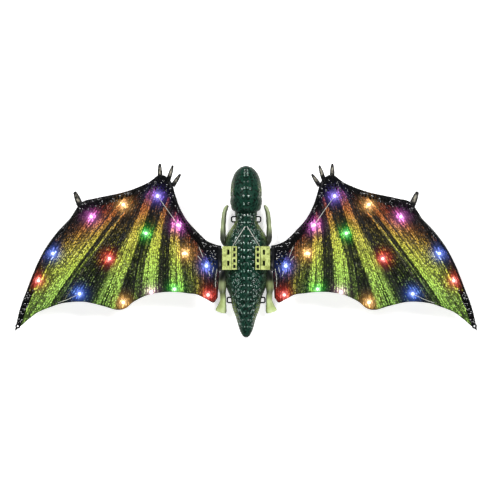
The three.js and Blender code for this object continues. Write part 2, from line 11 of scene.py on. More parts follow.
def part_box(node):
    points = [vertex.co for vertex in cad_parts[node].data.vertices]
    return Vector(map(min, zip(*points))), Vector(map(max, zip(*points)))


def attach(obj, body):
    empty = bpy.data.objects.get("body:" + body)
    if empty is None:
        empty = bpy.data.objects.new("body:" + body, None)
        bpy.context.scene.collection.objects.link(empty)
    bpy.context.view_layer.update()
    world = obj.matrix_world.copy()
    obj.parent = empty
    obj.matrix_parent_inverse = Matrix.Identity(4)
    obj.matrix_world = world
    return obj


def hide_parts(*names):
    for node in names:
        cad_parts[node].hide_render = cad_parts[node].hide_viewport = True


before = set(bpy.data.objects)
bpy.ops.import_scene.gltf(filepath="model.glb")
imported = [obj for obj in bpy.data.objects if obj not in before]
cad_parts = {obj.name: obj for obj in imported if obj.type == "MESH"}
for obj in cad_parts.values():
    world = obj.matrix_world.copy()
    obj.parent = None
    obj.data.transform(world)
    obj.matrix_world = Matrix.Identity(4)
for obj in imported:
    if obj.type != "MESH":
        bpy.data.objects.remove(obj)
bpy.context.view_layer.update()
scene = bpy.context.scene

# The studio: the toy lies on its back plate on a pale table under wide softboxes. The camera looks straight
# down from the height at which its frame takes in 805 mm level with the wings.
FRAME_WIDTH = 0.805
FRAME_MIDDLE = (0.0063, 0.0129)
WING_LEVEL = 0.0465
LENS_MM = 200
SENSOR_MM = 36
TABLE_DROP = 0.0002
TABLE_HALF = 4.0
ROOM_LIGHT = 0.12
DARK_CEILING = {"from": 0.8, "to": 0.93, "light": 0.04}


def chart(columns, *rows):
    """A chart of sizes: each row's values under the names of the columns."""
    return [dict(zip(columns.split(), row)) for row in rows]


SOFTBOXES = chart(
    "name place side power",
    ("key_left", (-1.5, 1.5, 2.3), 0.8, 68.0),
    ("key_right", (1.6, 1.2, 2.3), 0.8, 54.0),
    ("fill_tail", (0.3, -2.0, 2.1), 1.0, 36.0),
)
PAPER = {
    "Base Color": (0.82, 0.82, 0.815, 1),
    "Roughness": 0.9,
    "Specular IOR Level": 0.1,
    "Emission Color": (1, 1, 1, 1),
    "Emission Strength": 0.58,
}
HALO_THRESHOLD = 2.2
HALO_STRENGTH = 0.7
HALO_SIZE = 0.42


def in_scene(name, data):
    thing = bpy.data.objects.new(name, data)
    scene.collection.objects.link(thing)
    return thing


def add(tree, kind, inputs=None, **settings):
    """Adds a node; an input is set by its name or identifier, to a value or to another node's output."""
    node = tree.nodes.new(kind)
    for key, value in settings.items():
        setattr(node, key, value)
    for key, value in (inputs or {}).items():
        socket = next(s for s in node.inputs if key in (s.identifier, s.name))
        if isinstance(value, bpy.types.NodeSocket):
            tree.links.new(value, socket)
        else:
            socket.default_value = value
    return node


camera_data = bpy.data.cameras.new("camera")
camera_data.lens = LENS_MM
camera_data.sensor_width = SENSOR_MM
camera = in_scene("camera", camera_data)
camera.location = (*FRAME_MIDDLE, WING_LEVEL + FRAME_WIDTH * LENS_MM / SENSOR_MM)
scene.camera = camera
scene.view_settings.view_transform = "Standard"

for box in SOFTBOXES:
    lamp_data = bpy.data.lights.new(box["name"], "AREA")
    lamp_data.size = box["side"]
    lamp_data.energy = box["power"]
    softbox = in_scene(box["name"], lamp_data)
    softbox.location = box["place"]
    softbox.rotation_euler = Vector(box["place"]).to_track_quat("Z", "Y").to_euler()

room = bpy.data.worlds.new("white_room")
room.use_nodes = True
walls = room.node_tree.nodes["Background"]
walls.inputs["Color"].default_value = (1, 1, 1, 1)
upwards = add(
    room.node_tree,
    "ShaderNodeSeparateXYZ",
    {"Vector": add(room.node_tree, "ShaderNodeTexCoord").outputs["Generated"]},
)
ceiling = add(
    room.node_tree,
    "ShaderNodeMapRange",
    {
        "Value": upwards.outputs["Z"],
        "From Min": DARK_CEILING["from"],
        "From Max": DARK_CEILING["to"],
        "To Min": ROOM_LIGHT,
        "To Max": DARK_CEILING["light"],
    },
)
room.node_tree.links.new(ceiling.outputs["Result"], walls.inputs["Strength"])
scene.world = room

table_mesh = bpy.data.meshes.new("table")
table_corners = ((-1, -1), (1, -1), (1, 1), (-1, 1))
table_points = [(TABLE_HALF * x, TABLE_HALF * y, -TABLE_DROP) for x, y in table_corners]
table_mesh.from_pydata(table_points, [], [(0, 1, 2, 3)])
table_paper = bpy.data.materials.new("table_paper")
table_paper.use_nodes = True
paper = table_paper.node_tree.nodes["Principled BSDF"]
for label, value in PAPER.items():
    paper.inputs[label].default_value = value
table_mesh.materials.append(table_paper)
in_scene("table", table_mesh)

scene.use_nodes = True
halo_tree = scene.node_tree
halo_tree.nodes.clear()
seen = add(halo_tree, "CompositorNodeRLayers")
halo = add(
    halo_tree,
    "CompositorNodeGlare",
    {
        "Image": seen.outputs["Image"],
        "Highlights Threshold": HALO_THRESHOLD,
        "Strength": HALO_STRENGTH,
        "Size": HALO_SIZE,
    },
    glare_type="BLOOM",
    quality="HIGH",
)
add(halo_tree, "CompositorNodeComposite", {"Image": halo.outputs["Image"]})

# The back plate: a flat moulded cover of dark plastic inside the shells' lower edges, which lies against the
# wearer. Its solid is right as it is, so it only gets its finish: a fine moulded grain and cloudy colour.
PLATE_COLOUR = "23302a"
PLATE_LOW_COLOUR = "161d19"
CLOUD_EDGES = (0.32, 0.62)
UNEVEN_SHINE = 0.08
GRAIN = {"cloud": 0.02, "grain": 0.0011, "bump": 0.00004}
GRAIN_STRENGTH = 0.6


def sprayed(code):
    """A hex colour as the linear values that shaders take."""
    channels = [int(code[i : i + 2], 16) / 255 for i in (0, 2, 4)]
    return (*[c / 12.92 if c <= 0.04045 else ((c + 0.055) / 1.055) ** 2.4 for c in channels], 1.0)


def group_sockets(tree, inputs, outputs):
    for in_out, sockets in (("INPUT", inputs), ("OUTPUT", outputs)):
        for label, kind in sockets:
            tree.interface.new_socket(label, in_out=in_out, socket_type="NodeSocket" + kind)


def mixed(tree, share, low, high):
    """The colour between low and high."""
    node = add(
        tree, "ShaderNodeMix", {"Factor_Float": share, "A_Color": low, "B_Color": high}, data_type="RGBA"
    )
    return node.outputs["Result_Color"] if "Result_Color" in node.outputs else node.outputs[2]


def reckon(tree, operation, first, second=0.0, third=0.0):
    """One step of arithmetic on values that change over a surface."""
    node = add(
        tree,
        "ShaderNodeMath",
        {"Value": first, "Value_001": second, "Value_002": third},
        operation=operation,
    )
    return node.outputs[0]


def between(tree, value, low, high, first=0.0, last=1.0):
    """A smooth step from first to last while the value goes from low to high."""
    node = add(
        tree,
        "ShaderNodeMapRange",
        {"Value": value, "From Min": low, "From Max": high, "To Min": first, "To Max": last},
        interpolation_type="SMOOTHSTEP",
    )
    return node.outputs["Result"]


moulded_grain = bpy.data.node_groups.new("moulded_grain", "ShaderNodeTree")
group_sockets(
    moulded_grain,
    (
        ("Vector", "Vector"),
        ("Colour", "Color"),
        ("Low Colour", "Color"),
        ("Cloud Size", "Float"),
        ("Grain Size", "Float"),
        ("Roughness", "Float"),
    ),
    (("Colour", "Color"), ("Roughness", "Float"), ("Height", "Float")),
)
given = add(moulded_grain, "NodeGroupInput").outputs
clouds, pores = [
    add(
        moulded_grain,
        "ShaderNodeTexNoise",
        {
            "Vector": given["Vector"],
            "Scale": reckon(moulded_grain, "DIVIDE", 1.0, given[size]),
            "Detail": detail,
        },
    ).outputs["Fac"]
    for size, detail in (("Cloud Size", 4.0), ("Grain Size", 2.0))
]
cloud_share = between(moulded_grain, clouds, *CLOUD_EDGES)
uneven = reckon(moulded_grain, "MULTIPLY_ADD", pores, 2 * UNEVEN_SHINE, -UNEVEN_SHINE)
add(
    moulded_grain,
    "NodeGroupOutput",
    {
        "Colour": mixed(moulded_grain, cloud_share, given["Low Colour"], given["Colour"]),
        "Roughness": reckon(moulded_grain, "ADD", given["Roughness"], uneven),
        "Height": pores,
    },
)


def new_finish(name, **constant):
    """A material with one principled shader; its plain values go by socket names with _ for spaces."""
    material = bpy.data.materials.new(name)
    material.use_nodes = True
    shader = material.node_tree.nodes["Principled BSDF"]
    for label, value in constant.items():
        shader.inputs[label.replace("_", " ")].default_value = value
    return material, material.node_tree, shader


def grouped(tree, group, **inputs):
    """Puts a shader group into a material and returns its outputs; _ stands for a space in a name."""
    named = {label.replace("_", " "): value for label, value in inputs.items()}
    return add(tree, "ShaderNodeGroup", named, node_tree=group).outputs


def moulded(tree, shader, colour, low_colour, roughness, **sizes):
    """Puts the moulded grain into a material; the colours are values or other nodes' outputs."""
    sizes = {**GRAIN, **sizes}
    grained = grouped(
        tree,
        moulded_grain,
        Vector=add(tree, "ShaderNodeTexCoord").outputs["Object"],
        Colour=colour,
        Low_Colour=low_colour,
        Cloud_Size=sizes["cloud"],
        Grain_Size=sizes["grain"],
        Roughness=roughness,
    )
    raised = add(
        tree,
        "ShaderNodeBump",
        {"Height": grained["Height"], "Distance": sizes["bump"], "Strength": GRAIN_STRENGTH},
    )
    tree.links.new(grained["Colour"], shader.inputs["Base Color"])
    tree.links.new(grained["Roughness"], shader.inputs["Roughness"])
    tree.links.new(raised.outputs["Normal"], shader.inputs["Normal"])


def moulded_finish(name, colour, low_colour, roughness, **values):
    """A material of moulded plastic in one colour and its darker clouds; the values are sizes of the
    grain and the shader's own."""
    sizes = {key: values.pop(key) for key in GRAIN if key in values}
    material, tree, shader = new_finish(name, **values)
    moulded(tree, shader, sprayed(colour), sprayed(low_colour), roughness, **sizes)
    return material


def refinish(node, finish):
    """Gives a solid that stays as it is its finish."""
    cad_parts[node].data.materials.clear()
    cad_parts[node].data.materials.append(finish)


plate_finish = moulded_finish(
    "plate_finish", PLATE_COLOUR, PLATE_LOW_COLOUR, roughness=0.55, grain=0.0016, bump=0.0002
)
refinish("back_plate", plate_finish)

# The body shell: one hollow moulding in glossy dark green, domed from tail to neck, with small rounded scales
# all over and creases round the neck. Its flanks are sprayed a lighter green at the neck and the tail.
MM = 0.001
WALL = 2.0
RIM_Z = 0.6
DOME_POWER = 2.4
# The relief fades in from a dome's rim and its ends, and the lap fades out behind its edge.
RIM_FADE = (0.5, 5.0)
END_FADE = (0.0, 3.0)
LAP_FADE = (0, 14)
THINNEST = {"half": 0.3, "crest": 0.5}
BODY_SECTIONS = chart(
    "y half crest",
    (-128.8, 3.4, 9),
    (-122, 8.0, 14),
    (-113, 11.4, 19),
    (-96, 16.0, 26),
    (-84, 20.6, 30),
    (-74, 23.0, 33),
    (-62, 25.6, 37),
    (-48, 31.4, 41.5),
    (-34, 35.2, 45),
    (-18, 36.8, 47),
    (4, 37.2, 48),
    (24, 35.6, 46),
    (37, 31.2, 42.5),
    (47, 24.6, 38),
    (56, 19.2, 34),
    (64, 17.2, 31),
    (74, 18.2, 30),
    (88, 17.0, 28),
)
BODY_STATIONS = 210
ARCH_STEPS = 116
INNER_STEPS = 24
BODY_SCALE = {"across": 4.6, "along": 3.7, "rise": 0.85}
HAUNCH_FOLD = {"high": (13.7, -23), "low": (23.8, -29), "width": 1.3, "rise": 1.3}
NECK_CREASE = {"first": 52, "last": 80, "fade": 6, "pitch": 6.5, "depth": 0.55, "bow": 0.08, "smooth": 0.7}
SPINE = {"rise": 0.9, "width": 6.5, "last": 88, "fade": 30}
SHOULDER = {"x": 30, "y": 26, "width": 9, "length": 9, "rise": 1.4}
HAUNCH = {"x": 33, "y": -40, "width": 10, "length": 11, "rise": 1.6}
FLANK_SPRAY = {"neck": (46, 16), "tail": (-86, 17), "least": 0.12, "from": (0.62, 0.97)}
BODY_COLOUR = "18382c"
BODY_LOW_COLOUR = "08140f"
FLANK_COLOUR = "80914c"
FLANK_LOW_COLOUR = "1e2917"


def curve_through(places, values):
    """A smooth curve through one column of a table."""
    last = len(values) - 1
    slopes = []
    for i in range(len(values)):
        lo, hi = max(0, i - 1), min(last, i + 1)
        slopes.append((values[hi] - values[lo]) / (places[hi] - places[lo]))

    def at(place):
        i = min(max(bisect.bisect_right(places, place) - 1, 0), last - 1)
        span = places[i + 1] - places[i]
        s = min(max((place - places[i]) / span, 0.0), 1.0)
        s2, s3 = s * s, s * s * s
        return (
            (2 * s3 - 3 * s2 + 1) * values[i]
            + (s3 - 2 * s2 + s) * span * slopes[i]
            + (3 * s2 - 2 * s3) * values[i + 1]
            + (s3 - s2) * span * slopes[i + 1]
        )

    return at


def section_curves(sections):
    places = [row["y"] for row in sections]
    return [curve_through(places, [row[key] for row in sections]) for key in ("half", "crest")]


def step(value, low, high):
    """A smooth step from 0 to 1."""
    s = min(max((value - low) / (high - low), 0.0), 1.0)
    return s * s * (3 - 2 * s)


def bell(distance, width):
    return math.exp(-((distance / width) ** 2))


def scale_lattice(across, along, pitch):
    """Height from 0 to 1 of a staggered lattice of rounded scales."""
    best = 0.0
    row = math.floor(along / pitch["along"])
    for r in (row, row + 1):
        shift = 0.5 * (r % 2)
        s = (across / pitch["across"] - shift + 0.5) % 1.0 - 0.5
        t = along / pitch["along"] - r
        best = max(best, 1 - (s / 0.5) ** 2 - (t / 0.95) ** 2)
    return best


def arch_point(half, crest, y, share):
    """A point of a domed section: share 0 is the right rim, 0.5 the crest and 1 the left rim."""
    angle = math.pi * share
    reach = math.copysign(abs(math.cos(angle)) ** (2 / DOME_POWER), math.cos(angle))
    height = max(0.0, math.sin(angle)) ** (2 / DOME_POWER)
    return Vector((half * reach, y, RIM_Z + (crest - RIM_Z) * height))


def lapped(share, from_edge, lap):
    """How far a point near a dome's first edge is drawn back."""
    back = lap * math.sin(math.pi * share) ** 2 * (1 - step(from_edge, *LAP_FADE))
    return Vector((0, -back, 0))


def dome_shell(sections, stations, relief, lap=0.0):
    """Points and faces of a hollow dome over a table of sections, with relief(across, y, point) raised on it.
    Its first edge bows back by the lap over the crest."""
    half, crest = section_curves(sections)
    first, last = sections[0]["y"], sections[-1]["y"]
    points, faces = [], []
    for i in range(stations + 1):
        y = first + (last - first) * i / stations
        smooth = [arch_point(half(y), crest(y), y, k / ARCH_STEPS) for k in range(ARCH_STEPS + 1)]
        lengths = [0.0]
        for k in range(ARCH_STEPS):
            lengths.append(lengths[-1] + (smooth[k + 1] - smooth[k]).length)
        for k, point in enumerate(smooth):
            before, after = smooth[max(0, k - 1)], smooth[min(ARCH_STEPS, k + 1)]
            ahead = arch_point(half(y + 0.5), crest(y + 0.5), y + 0.5, k / ARCH_STEPS)
            behind = arch_point(half(y - 0.5), crest(y - 0.5), y - 0.5, k / ARCH_STEPS)
            normal = (ahead - behind).cross(after - before).normalized()
            from_rim = step(min(lengths[k], lengths[-1] - lengths[k]), *RIM_FADE)
            ends = step(min(y - first, last - y), *END_FADE)
            rise = relief(lengths[k] - lengths[-1] / 2, y, point) * from_rim * ends
            points.append(point + normal * rise + lapped(k / ARCH_STEPS, y - first, lap))
        inner_half = max(half(y) - WALL, THINNEST["half"] * half(y))
        inner_crest = max(crest(y) - WALL, THINNEST["crest"] * crest(y))
        for k in range(INNER_STEPS, -1, -1):
            inside = arch_point(inner_half, inner_crest, y, k / INNER_STEPS)
            points.append(inside + lapped(k / INNER_STEPS, y - first, lap))
    around = ARCH_STEPS + INNER_STEPS + 2
    for i in range(stations):
        for k in range(around):
            a, b = i * around + k, i * around + (k + 1) % around
            faces.append((a, a + around, b + around, b))
    faces.append(tuple(range(around)))
    faces.append(tuple(range(stations * around + around - 1, stations * around - 1, -1)))
    return points, faces


def new_piece(name, points, faces, finish):
    """A smooth-shaded mesh piece at the origin, from points in millimetres."""
    mesh = bpy.data.meshes.new(name)
    mesh.from_pydata([tuple(c * MM for c in p) for p in points], [], faces)
    mesh.materials.append(finish)
    mesh.polygons.foreach_set("use_smooth", [True] * len(mesh.polygons))
    mesh.update()
    return in_scene(name, mesh)


def paint(piece, name, values):
    """Keeps one value per vertex for the piece's material."""
    piece.data.attributes.new(name, "FLOAT", "POINT").data.foreach_set("value", values)


def painted(tree, name):
    return add(tree, "ShaderNodeAttribute", attribute_name=name).outputs["Fac"]


def swell(form, x, y):
    """The height of a rounded swelling on a dome."""
    return form["rise"] * bell(x - form["x"], form["width"]) * bell(y - form["y"], form["length"])


def body_relief(across, y, point):
    scales = BODY_SCALE["rise"] * scale_lattice(across, y, BODY_SCALE)
    crease = NECK_CREASE
    on_neck = step(y - crease["first"], 0, crease["fade"]) * step(crease["last"] - y, 0, crease["fade"])
    wave = math.sin(2 * math.pi * y / crease["pitch"] + crease["bow"] * abs(across))
    spine = SPINE["rise"] * bell(across, SPINE["width"]) * step(SPINE["last"] - y, 0, SPINE["fade"])
    muscles = swell(SHOULDER, abs(across), y) + swell(HAUNCH, abs(across), y)
    low, high = HAUNCH_FOLD["low"], HAUNCH_FOLD["high"]
    along = min(max((abs(point[0]) - high[0]) / (low[0] - high[0]), 0.0), 1.0)
    fold_x, fold_y = [a + along * (b - a) for a, b in zip(high, low)]
    off = math.hypot(abs(point[0]) - fold_x, y - fold_y)
    fold = HAUNCH_FOLD["rise"] * bell(off, HAUNCH_FOLD["width"])
    skin = scales * (1 - crease["smooth"] * on_neck) + crease["depth"] * wave * on_neck
    return skin + spine + muscles + fold


body_half, body_crest = section_curves(BODY_SECTIONS)


def flank_share(point):
    """How far up the light spray on the flanks reaches at a point of the body."""
    side = step(abs(point[0]) / body_half(point[1]), *FLANK_SPRAY["from"])
    sprays = [bell(point[1] - FLANK_SPRAY[end][0], FLANK_SPRAY[end][1]) for end in ("neck", "tail")]
    return side * max(FLANK_SPRAY["least"], *sprays)


body_finish, tree, shader = new_finish("body_finish", IOR=1.12)
light_side = mixed(tree, painted(tree, "flank"), sprayed(BODY_COLOUR), sprayed(FLANK_COLOUR))
dark_side = mixed(tree, painted(tree, "flank"), sprayed(BODY_LOW_COLOUR), sprayed(FLANK_LOW_COLOUR))
moulded(tree, shader, light_side, dark_side, roughness=0.27, cloud=0.004)

body_points, body_faces = dome_shell(BODY_SECTIONS, BODY_STATIONS, body_relief)
body_shell = new_piece("body_shell_moulding", body_points, body_faces, body_finish)
paint(body_shell, "flank", [flank_share(p) for p in body_points])
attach(body_shell, "body")
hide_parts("body_shell")

# The head: a second moulding pushed over the neck, its rear edge lapping it. It has brow ridges over
# the eyes, two nostrils, a closed mouth line and the same green as the body.
HEAD_SECTIONS = chart(
    "y half crest",
    (76.5, 21.4, 35),
    (80, 23.4, 38.5),
    (86, 24.4, 41),
    (96, 25.0, 42),
    (107, 25.0, 41),
    (115, 24.6, 38),
    (123, 23.2, 34.5),
    (130, 21.2, 31.5),
    (138, 17.6, 27),
    (144, 12.6, 22),
    (147.6, 7.4, 17),
    (149.4, 3.2, 12),
)
HEAD_STATIONS = 100
HEAD_LAP = 3.0
HEAD_SCALE = {"across": 5.6, "along": 4.6, "rise": 0.62}
BROW = {"x": 18.2, "y": 108, "width": 3.0, "length": 8.5, "rise": 2.6}
CROWN = {"x": 9.0, "y": 92, "width": 3.2, "length": 9, "rise": 1.2}
EYE_SOCKET = {"depth": 1.1, "height": 4.5, "length": 6, "from_x": (14, 20)}
MUZZLE = {"x": 8.5, "spread": 0.12, "width": 2.6, "y": 127, "length": 12, "rise": 1.3, "front": 130}
CHEEK_FROM_X = (15, 21)
CHEEK_FORMS = chart("y length rise", (99, 1.8, -1.2), (91, 5, 0.8))
HEAD_SPRAY = {"y": 112, "length": 14, "share": 0.5, "from": (0.7, 1.0)}
NOSTRIL = {"x": 3.4, "y": 142.4, "width": 1.5, "depth": 1.5, "lip": 2.4, "lip_width": 0.9}
MOUTH = {"z": 9.5, "slope": 0.04, "width": 0.9, "depth": 0.9, "from_y": (96, 104)}
EYE = {"y": 110, "z": 23.5, "sides": 20}
EYE_PROFILE = chart(
    "out up",
    (0.0, 1.5),
    (0.7, 1.42),
    (1.3, 1.05),
    (1.65, 0.55),
    (1.9, 0.75),
    (2.4, 0.95),
    (2.9, 0.6),
    (3.2, -0.2),
    (3.2, -1.6),
)
EYE_COLOUR = "15120c"
EYE_LOW_COLOUR = "090806"
LID_LOW_COLOUR = "5d6a32"
LID_FROM = 1.8
EYE_SINK = 0.6
EYE_FACING = (0.12, 0.75)
SIDES = (("left", -1), ("right", 1))

head_half, head_crest = section_curves(HEAD_SECTIONS)


def head_relief(across, y, point):
    x = abs(point[0])
    scales = HEAD_SCALE["rise"] * scale_lattice(across, y, HEAD_SCALE)
    brow = swell(BROW, x, y) + swell(CROWN, x, y)
    by_eye = bell(point[2] - EYE["z"], EYE_SOCKET["height"]) * bell(y - EYE["y"], EYE_SOCKET["length"])
    socket = -EYE_SOCKET["depth"] * by_eye * step(x, *EYE_SOCKET["from_x"])
    from_front = MUZZLE["front"] - y
    muzzle = swell(MUZZLE, x - MUZZLE["spread"] * from_front, y)
    cheek = sum(row["rise"] * bell(y - row["y"], row["length"]) for row in CHEEK_FORMS)
    cheek *= step(x, *CHEEK_FROM_X)
    from_nostril = math.hypot(x - NOSTRIL["x"], y - NOSTRIL["y"])
    lip = bell(from_nostril - NOSTRIL["lip"], NOSTRIL["lip_width"])
    nostril = NOSTRIL["depth"] * (0.5 * lip - bell(from_nostril, NOSTRIL["width"]))
    line = bell(point[2] - MOUTH["z"] - MOUTH["slope"] * from_front, MOUTH["width"])
    mouth = -MOUTH["depth"] * line * step(y, *MOUTH["from_y"])
    return scales + brow + socket + muzzle + cheek + nostril + mouth


def head_flank(point):
    side = step(abs(point[0]) / head_half(point[1]), *HEAD_SPRAY["from"])
    spray = HEAD_SPRAY["share"] * bell(point[1] - HEAD_SPRAY["y"], HEAD_SPRAY["length"])
    return side * max(FLANK_SPRAY["least"], spray)


def lathe(profile, middle, axis, sides):
    """Points and faces of a turned piece, from a profile that starts on its axis and ends at its foot."""
    axis = Vector(axis).normalized()
    across = axis.orthogonal().normalized()
    beside = axis.cross(across)
    points = [Vector(middle) + axis * profile[0]["up"]]
    faces = []
    for row in profile[1:]:
        for s in range(sides):
            angle = 2 * math.pi * s / sides
            out = across * math.cos(angle) + beside * math.sin(angle)
            points.append(Vector(middle) + out * row["out"] + axis * row["up"])
    for s in range(sides):
        faces.append((0, 1 + s, 1 + (s + 1) % sides))
    for r in range(len(profile) - 2):
        for s in range(sides):
            a, b = 1 + r * sides + s, 1 + r * sides + (s + 1) % sides
            faces.append((a, a + sides, b + sides, b))
    faces.append(tuple(1 + (len(profile) - 2) * sides + s for s in reversed(range(sides))))
    return points, faces


head_points, head_faces = dome_shell(HEAD_SECTIONS, HEAD_STATIONS, head_relief, HEAD_LAP)
head = new_piece("head_moulding", head_points, head_faces, body_finish)
paint(head, "flank", [head_flank(p) for p in head_points])
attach(head, "body")
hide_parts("head")

eye_finish, tree, shader = new_finish("eye_finish", Coat_Weight=0.8, Coat_Roughness=0.05)
moulded(
    tree,
    shader,
    mixed(tree, painted(tree, "lid"), sprayed(EYE_COLOUR), sprayed(FLANK_COLOUR)),
    mixed(tree, painted(tree, "lid"), sprayed(EYE_LOW_COLOUR), sprayed(LID_LOW_COLOUR)),
    roughness=0.3,
    cloud=0.004,
    grain=0.0006,
)
eye_share = ((EYE["z"] - RIM_Z) / (head_crest(EYE["y"]) - RIM_Z)) ** DOME_POWER
eye_x = head_half(EYE["y"]) * (1 - eye_share) ** (1 / DOME_POWER) - EYE_SINK
lids = [0.0] + [float(row["out"] > LID_FROM) for row in EYE_PROFILE[1:] for _ in range(EYE["sides"])]
for side, right in SIDES:
    middle = (right * eye_x, EYE["y"], EYE["z"])
    eye_points, eye_faces = lathe(EYE_PROFILE, middle, (right, *EYE_FACING), EYE["sides"])
    eye = new_piece("eye_" + side, eye_points, eye_faces, eye_finish)
    paint(eye, "lid", lids)
    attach(eye, "body")

# The scutes: keeled horny plates moulded in rows along the back, as on a crocodile, the two rows by the spine
# the largest. Their crests are brushed with a paler green, which also serves as a painted highlight.
SCUTE = {"width": 2.5, "length": 3.3, "height": 1.0, "keel": 0.35, "lean": 0.4}
SCUTE_PITCH = 11.2
SCUTE_ROWS = chart(
    "across first last shift size",
    (3.0, -121, 74, 0.0, 1.0),
    (7.4, -116, 62, 0.5, 0.72),
    (11.9, -106, 44, 0.0, 0.85),
    (16.6, -96, 38, 0.5, 0.7),
    (21.4, -84, 33, 0.0, 0.78),
    (26.2, -66, 30, 0.5, 0.66),
    (30.6, -54, 26, 0.0, 0.6),
)
TAIL_EDGE = {"share": 0.86, "first": -122, "last": -70, "pitch": 5.4, "size": 0.62}
HEAD_SCUTES = chart(
    "y across size",
    (142, 2.0, 0.75),
    (137.6, 2.1, 0.85),
    (133.4, 2.3, 0.8),
    (123, 3.0, 0.7),
    (113.4, 2.4, 0.85),
    (111.8, 6.2, 0.8),
    (100.4, 3.9, 0.72),
    (88.2, 3.5, 0.8),
    (82.4, 8.6, 0.5),
)
SCUTE_TILT = 0.2
# Where the body is narrower than this half, the rows of scutes close up and get smaller.
CROWDED = {"half": 22, "across": 0.55, "size": 0.6}
SCUTE_FAN = 0.012
SLOPE_REACH = 0.2
SCUTE_REACH = 0.9
SMALL_SCALE_REACH = 0.88
SCUTE_BRUSHED_HIGHLIGHT_FROM = (0.75, 1.0)
SMALL_SCALE_FIELDS = chart(
    "across y count",
    ((9, 29), (23, 48), 76),
    ((9, 31), (-72, -23), 100),
    ((4, 14), (46, 74), 26),
    ((1, 15), (-118, -70), 46),
)
SMALL_SCALE_SIZES = (0.3, 0.5)
BRACKET_CLEAR = {"inner": 12.8, "half_length": 21.5}
HEAD_SCUTE_SPREAD = (0.8, 1.2)
SCUTE_LIFT = {"body": 0.4, "head": 0.5, "small": 0.6}
STRAIGHT = (0, 1, 0)
# The paler crests are dry-brushed paint and a painted highlight together.
SCUTE_BRUSHED_HIGHLIGHT_COLOUR = "5d8272"
SCUTE_LOW_BRUSHED_HIGHLIGHT_COLOUR = "2f4a3d"

raised_plates = bpy.data.node_groups.new("raised_plates", "GeometryNodeTree")
group_sockets(
    raised_plates,
    (
        ("Geometry", "Geometry"),
        ("Width", "Float"),
        ("Length", "Float"),
        ("Height", "Float"),
        ("Keel", "Float"),
        ("Lean", "Float"),
        ("Sink", "Float"),
        ("Segments", "Int"),
        ("Rings", "Int"),
        ("Finish", "Material"),
    ),
    (("Geometry", "Geometry"),),
)
given = add(raised_plates, "NodeGroupInput").outputs
ball = add(
    raised_plates,
    "GeometryNodeMeshUVSphere",
    {"Segments": given["Segments"], "Rings": given["Rings"], "Radius": 1.0},
)
spot = add(
    raised_plates,
    "ShaderNodeSeparateXYZ",
    {"Vector": add(raised_plates, "GeometryNodeInputPosition").outputs["Position"]},
)


def on_plate(operation, *values):
    return reckon(raised_plates, operation, *values)


near_keel = on_plate("SUBTRACT", 1.0, on_plate("ABSOLUTE", spot.outputs["X"]))
keeled = on_plate("MULTIPLY_ADD", on_plate("POWER", near_keel, 2.0), given["Keel"], 1.0)
upper = on_plate("MAXIMUM", spot.outputs["Z"], 0.0)
above = on_plate("MULTIPLY", upper, keeled)
below = on_plate("MULTIPLY", on_plate("MINIMUM", spot.outputs["Z"], 0.0), given["Sink"])
leaning = on_plate("MULTIPLY", upper, given["Lean"])
plate_place = add(
    raised_plates,
    "ShaderNodeCombineXYZ",
    {
        "X": spot.outputs["X"],
        "Y": on_plate("SUBTRACT", spot.outputs["Y"], leaning),
        "Z": on_plate("ADD", above, below),
    },
)
plate_shape = add(
    raised_plates,
    "GeometryNodeSetPosition",
    {"Geometry": ball.outputs["Mesh"], "Position": plate_place.outputs["Vector"]},
)
plate_tip = add(
    raised_plates,
    "GeometryNodeStoreNamedAttribute",
    {"Geometry": plate_shape.outputs["Geometry"], "Name": "tip", "Value": upper},
)
point_value = {}
for name, kind in (("facing", "FLOAT_VECTOR"), ("along", "FLOAT_VECTOR"), ("size", "FLOAT")):
    kept = add(raised_plates, "GeometryNodeInputNamedAttribute", {"Name": name}, data_type=kind)
    point_value[name] = kept.outputs["Attribute"]
plate_turn = add(
    raised_plates,
    "FunctionNodeAxesToRotation",
    {"Primary Axis": point_value["facing"], "Secondary Axis": point_value["along"]},
    primary_axis="Z",
    secondary_axis="Y",
)
plate_sides = add(
    raised_plates,
    "ShaderNodeCombineXYZ",
    {"X": given["Width"], "Y": given["Length"], "Z": given["Height"]},
)
plate_size = add(
    raised_plates,
    "ShaderNodeVectorMath",
    {"Vector": plate_sides.outputs["Vector"], "Scale": point_value["size"]},
    operation="SCALE",
)
plates_on = add(
    raised_plates,
    "GeometryNodeInstanceOnPoints",
    {
        "Points": given["Geometry"],
        "Instance": plate_tip.outputs["Geometry"],
        "Rotation": plate_turn.outputs["Rotation"],
        "Scale": plate_size.outputs["Vector"],
    },
)


def end_in_finish(tree, geometry, finish):
    """Ends a tree: the instances made real, smooth and of one finish."""
    real = add(tree, "GeometryNodeRealizeInstances", {"Geometry": geometry})
    smooth = add(tree, "GeometryNodeSetShadeSmooth", {"Geometry": real.outputs["Geometry"]})
    finished = {"Geometry": smooth.outputs["Geometry"], "Material": finish}
    done = add(tree, "GeometryNodeSetMaterial", finished)
    add(tree, "NodeGroupOutput", {"Geometry": done.outputs["Geometry"]})


end_in_finish(raised_plates, plates_on.outputs["Instances"], given["Finish"])


def settle(piece, modifier):
    """Keeps what a piece's modifier makes as its plain mesh."""
    bpy.context.view_layer.update()
    settled = bpy.context.evaluated_depsgraph_get()
    mesh = bpy.data.meshes.new_from_object(piece.evaluated_get(settled), depsgraph=settled)
    piece.modifiers.remove(modifier)
    piece.data = mesh


def grown(name, tree, carrier, **values):
    """Runs a tree on a carrier mesh and keeps what it makes as a plain mesh piece."""
    piece = in_scene(name, carrier)
    modifier = piece.modifiers.new("growth", "NODES")
    modifier.node_group = tree
    for socket in tree.interface.items_tree:
        if socket.in_out == "INPUT" and socket.name in values:
            modifier[socket.identifier] = values[socket.name]
    settle(piece, modifier)
    piece.data.name = name
    return piece


def plate(place, facing, along, size, **values):
    """One plate of a field; any more values are kept on it for its finish."""
    return {"place": place, "facing": facing, "along": along, "size": size, **values}


